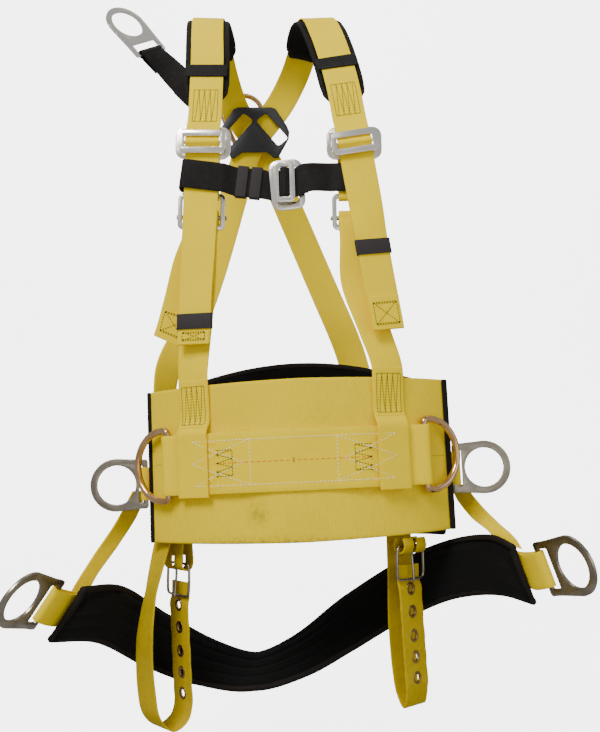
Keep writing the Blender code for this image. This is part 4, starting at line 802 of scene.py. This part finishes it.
def metal(name, bright, dull, gloss, dulling, grain):
    made, tree, shader, place = blank(name)
    wear = wire_up(tree, "ShaderNodeGroup", node_tree=worn_metal)
    tree.links.new(place, wear.inputs["Place"])
    wear.inputs["Smooth"].default_value = gloss
    wear.inputs["Dull"].default_value = dulling
    shader.inputs["Metallic"].default_value = 1.0
    tree.links.new(blended(tree, wear.outputs["Patch"], (*bright, 1), (*dull, 1)),
                   shader.inputs["Base Color"])
    tree.links.new(wear.outputs["Roughness"], shader.inputs["Roughness"])
    bump = wire_up(tree, "ShaderNodeBump", {"Strength": grain, "Distance": 0.0001,
                                            "Height": wear.outputs["Height"]})
    tree.links.new(bump.outputs[0], shader.inputs["Normal"])
    return made


zinc = metal("zinc_plate", (0.95, 0.91, 0.82), (0.84, 0.79, 0.68), 0.16, 0.28, 0.10)
nickel = metal("brown_nickel", (0.36, 0.32, 0.25), (0.24, 0.21, 0.155), 0.22, 0.42, 0.35)
bronze = metal("bronze_plate", (0.74, 0.48, 0.24), (0.52, 0.31, 0.13), 0.15, 0.26, 0.15)
brass = metal("old_brass", (0.36, 0.23, 0.08), (0.17, 0.10, 0.03), 0.24, 0.50, 0.2)
for node in ("adjuster_link_left", "adjuster_link_right", "adjuster_frame_left", "adjuster_frame_right",
             "torso_buckle_left", "torso_buckle_right", "chest_link", "chest_frame", "extension_ring"):
    softened(node, zinc, 0.0009)
for node in ("hip_ring_left", "hip_ring_right", "seat_ring_left", "seat_ring_right"):
    softened(node, nickel, 0.0010)
for side in SIDES:
    softened(f"torso_bar_{side}", nickel, 0.0007)

# ---- forged rings and leg buckles -----------------------------------------------------------------
# Round wire, bent and welded: bronze plated for the front and dorsal rings, plain nickel for the leg
# buckles and their tongues.
def round_wire(node, material, restore):
    """A wire's solid made round: subdivided, then swollen by what the smoothing took off."""
    piece = copied(node, f"{node}_finished")
    piece.data.materials.append(material)
    finish(piece, ("SUBSURF", dict(levels=2, render_levels=2)),
           ("DISPLACE", dict(strength=restore, mid_level=0.0)))
    bpy.ops.object.shade_smooth()
    return settle(piece, node)


for node in ("front_ring_left", "front_ring_right"):
    round_wire(node, bronze, 0.00044)
round_wire("dorsal_ring", bronze, 0.00039)
for side in SIDES:
    round_wire(f"leg_buckle_frame_{side}", nickel, 0.00017)
    round_wire(f"leg_tongue_{side}", nickel, 0.00020)


# ---- dorsal pad -----------------------------------------------------------------------------------
# A moulded plastic plate between the shoulder blades, its edges rolled, with a window for each strap.
def plastic(name):
    made, tree, shader, place = blank(name)
    grain = noise(tree, place, 700.0, 3.0)
    scuff = noise(tree, place, 60.0, 6.0)
    rough = wire_up(tree, "ShaderNodeMapRange", {0: scuff, 1: 0.35, 2: 0.7, 3: 0.38, 4: 0.62}).outputs[0]
    tree.links.new(rough, shader.inputs["Roughness"])
    shader.inputs["Base Color"].default_value = (0.012, 0.012, 0.012, 1)
    bump = wire_up(tree, "ShaderNodeBump", {"Strength": 0.25, "Distance": 0.0002, "Height": grain})
    tree.links.new(bump.outputs[0], shader.inputs["Normal"])
    return made


softened("dorsal_pad", plastic("black_plastic"), 0.0010)

# ---- seat webbing and hangers ---------------------------------------------------------------------
# Yellow webbing sewn under the seat pad and folded round each seat ring, and a hanger at each hip.
rows = smooth(rows_of("seat_webbing", (-0.3, -0.1, -0.2), (0, 0, 1)), 0.003)
settle(strip("seat_webbing_cloth", rows, WEB_THICK, yellow_webbing), "seat_webbing")
for side in SIDES:
    rows = smooth(rows_of(f"seat_hanger_{side}", (0, 0, 0), (0, 1, 0)))
    settle(strip(f"seat_hanger_{side}_webbing", rows, WEB_THICK, yellow_webbing), f"seat_hanger_{side}")

# ---- legs -----------------------------------------------------------------------------------------
# Each leg strap hangs from under the belt, turns up at the bottom, and carries five brass grommets up
# to its buckle. The grommets are rolled eyelets that pucker the webbing.
# The leg webbing's colours are darker than the belt webbing's: painted shade for the shadow the leg straps
# hang in.
STRAND = {
    "left": (Vector((-0.1525, -0.0150, -0.3130)), Vector((-0.1605, -0.0190, -0.1780)),
             Vector((0.62, -0.78, 0))),
    "right": (Vector((0.1480, -0.0620, -0.2830)), Vector((0.1400, -0.0640, -0.1520)),
              Vector((0.70, 0.71, 0)))}
LEG_ROUTE = {
    "left": [((-0.1800, -0.0240, -0.0980), (0.62, -0.78, 0)), ((-0.1930, -0.0440, -0.1700), (0.45, -0.89, 0)),
             ((-0.1990, -0.0500, -0.2300), (0.60, -0.80, 0)), ((-0.1960, -0.0490, -0.2900), (0.66, -0.75, 0)),
             ((-0.1890, -0.0430, -0.3260), (0.66, -0.75, 0)), ((-0.1730, -0.0300, -0.3430), (0.64, -0.77, 0)),
             ((-0.1570, -0.0180, -0.3330), (0.62, -0.78, 0))],
    "right": [((0.1290, -0.0400, -0.0860), (0.80, 0.60, 0)), ((0.1310, -0.0330, -0.1500), (0.80, 0.60, 0)),
              ((0.1330, -0.0290, -0.2100), (0.86, 0.50, 0)), ((0.1360, -0.0320, -0.2700), (0.80, 0.60, 0)),
              ((0.1390, -0.0400, -0.2970), (0.72, 0.69, 0)), ((0.1450, -0.0550, -0.3080), (0.70, 0.71, 0))]}
BUCKLE = {"left": Vector((-0.1610, -0.0200, -0.1560)), "right": Vector((0.1410, -0.0645, -0.1300))}
GROMMET_SHARES = (0.075, 0.272, 0.472, 0.700, 0.915)


def grommet(name, middle, across, up):
    """A rolled eyelet: a round lip on each face joined by a tube."""
    bpy.ops.object.select_all(action="DESELECT")
    bpy.ops.mesh.primitive_torus_add(major_radius=0.0065, minor_radius=0.0021, major_segments=40,
                                     minor_segments=14)
    piece = bpy.context.object
    piece.name = name
    face = across.cross(up).normalized()
    turn = Matrix((across, face.cross(across), face)).transposed().to_4x4()
    flat = Matrix.Diagonal((1.0, 1.0, 0.86, 1.0))
    piece.data.transform(Matrix.Translation(middle) @ turn @ flat)
    piece.data.materials.append(brass)
    bpy.ops.object.shade_smooth()
    return piece


for side in SIDES:
    low, high, across = STRAND[side]
    strand = [(low.lerp(high, share), across) for share in (0.0, 0.08, 0.5, 0.86, 0.92)]
    end = [(BUCKLE[side] + Vector((0, 0, up)) - across.normalized().cross(Vector((0, 0, 1))) * 0.0038, across)
           for up in (-0.021, -0.012, -0.003)]
    route = [(Vector(point), Vector(over).normalized(), WEB_WIDTH)
             for point, over in LEG_ROUTE[side] + strand + end]
    rows = smooth(route, 0.0025)
    turned = []
    for middle, over, width in rows:
        ripple = 0.0
        for share in GROMMET_SHARES:
            ripple += math.exp(-((middle - low.lerp(high, share)).length / 0.010) ** 2)
        turned.append((middle, over, width + 0.0030 * ripple - 0.0018))
    # The leg strap's webbing carries painted shade in its darker colours.
    strap = strip(f"leg_strap_{side}_webbing", turned, WEB_THICK, leg_webbing_painted_shade, columns=14)
    for number, share in enumerate(GROMMET_SHARES, 1):
        middle = low.lerp(high, share)
        ring = grommet(f"grommet_{side}_{number}_rolled", middle, across.normalized(),
                       (high - low).normalized())
        if f"grommet_{side}_{number}" in frame["nodes"]:
            settle(ring, f"grommet_{side}_{number}")
        else:
            attend(ring, f"grommet_{side}_1")
        bpy.ops.object.select_all(action="DESELECT")
        bpy.ops.mesh.primitive_cylinder_add(vertices=32, radius=0.0056, depth=0.02)
        punch = bpy.context.object
        face = across.normalized().cross((high - low).normalized()).normalized()
        punch.data.transform(Matrix.Translation(middle) @ face.to_track_quat("Z", "Y").to_matrix().to_4x4())
        finish(strap, ("BOOLEAN", dict(operation="DIFFERENCE", object=punch, solver="EXACT")))
        bpy.data.objects.remove(punch)
    settle(strap, f"leg_strap_{side}")
    # The buckle loop takes the same darker webbing, with its painted shade.
    loop = softened(f"leg_buckle_loop_{side}", leg_webbing_painted_shade, 0.0004, 2)
    lie = loop.data.uv_layers.new(name="cloth")
    for spot in loop.data.loops:
        corner = loop.data.vertices[spot.vertex_index].co
        lie.data[spot.index].uv = ((corner - BUCKLE[side]).dot(across.normalized()), corner.z)

# ---- the whole ------------------------------------------------------------------------------------
# The two boxes are kept so that the finished piece can be held against the solid model's size.
low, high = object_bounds()
{"cad": [list(cad_low), list(cad_high)], "visual": [list(low), list(high)]}
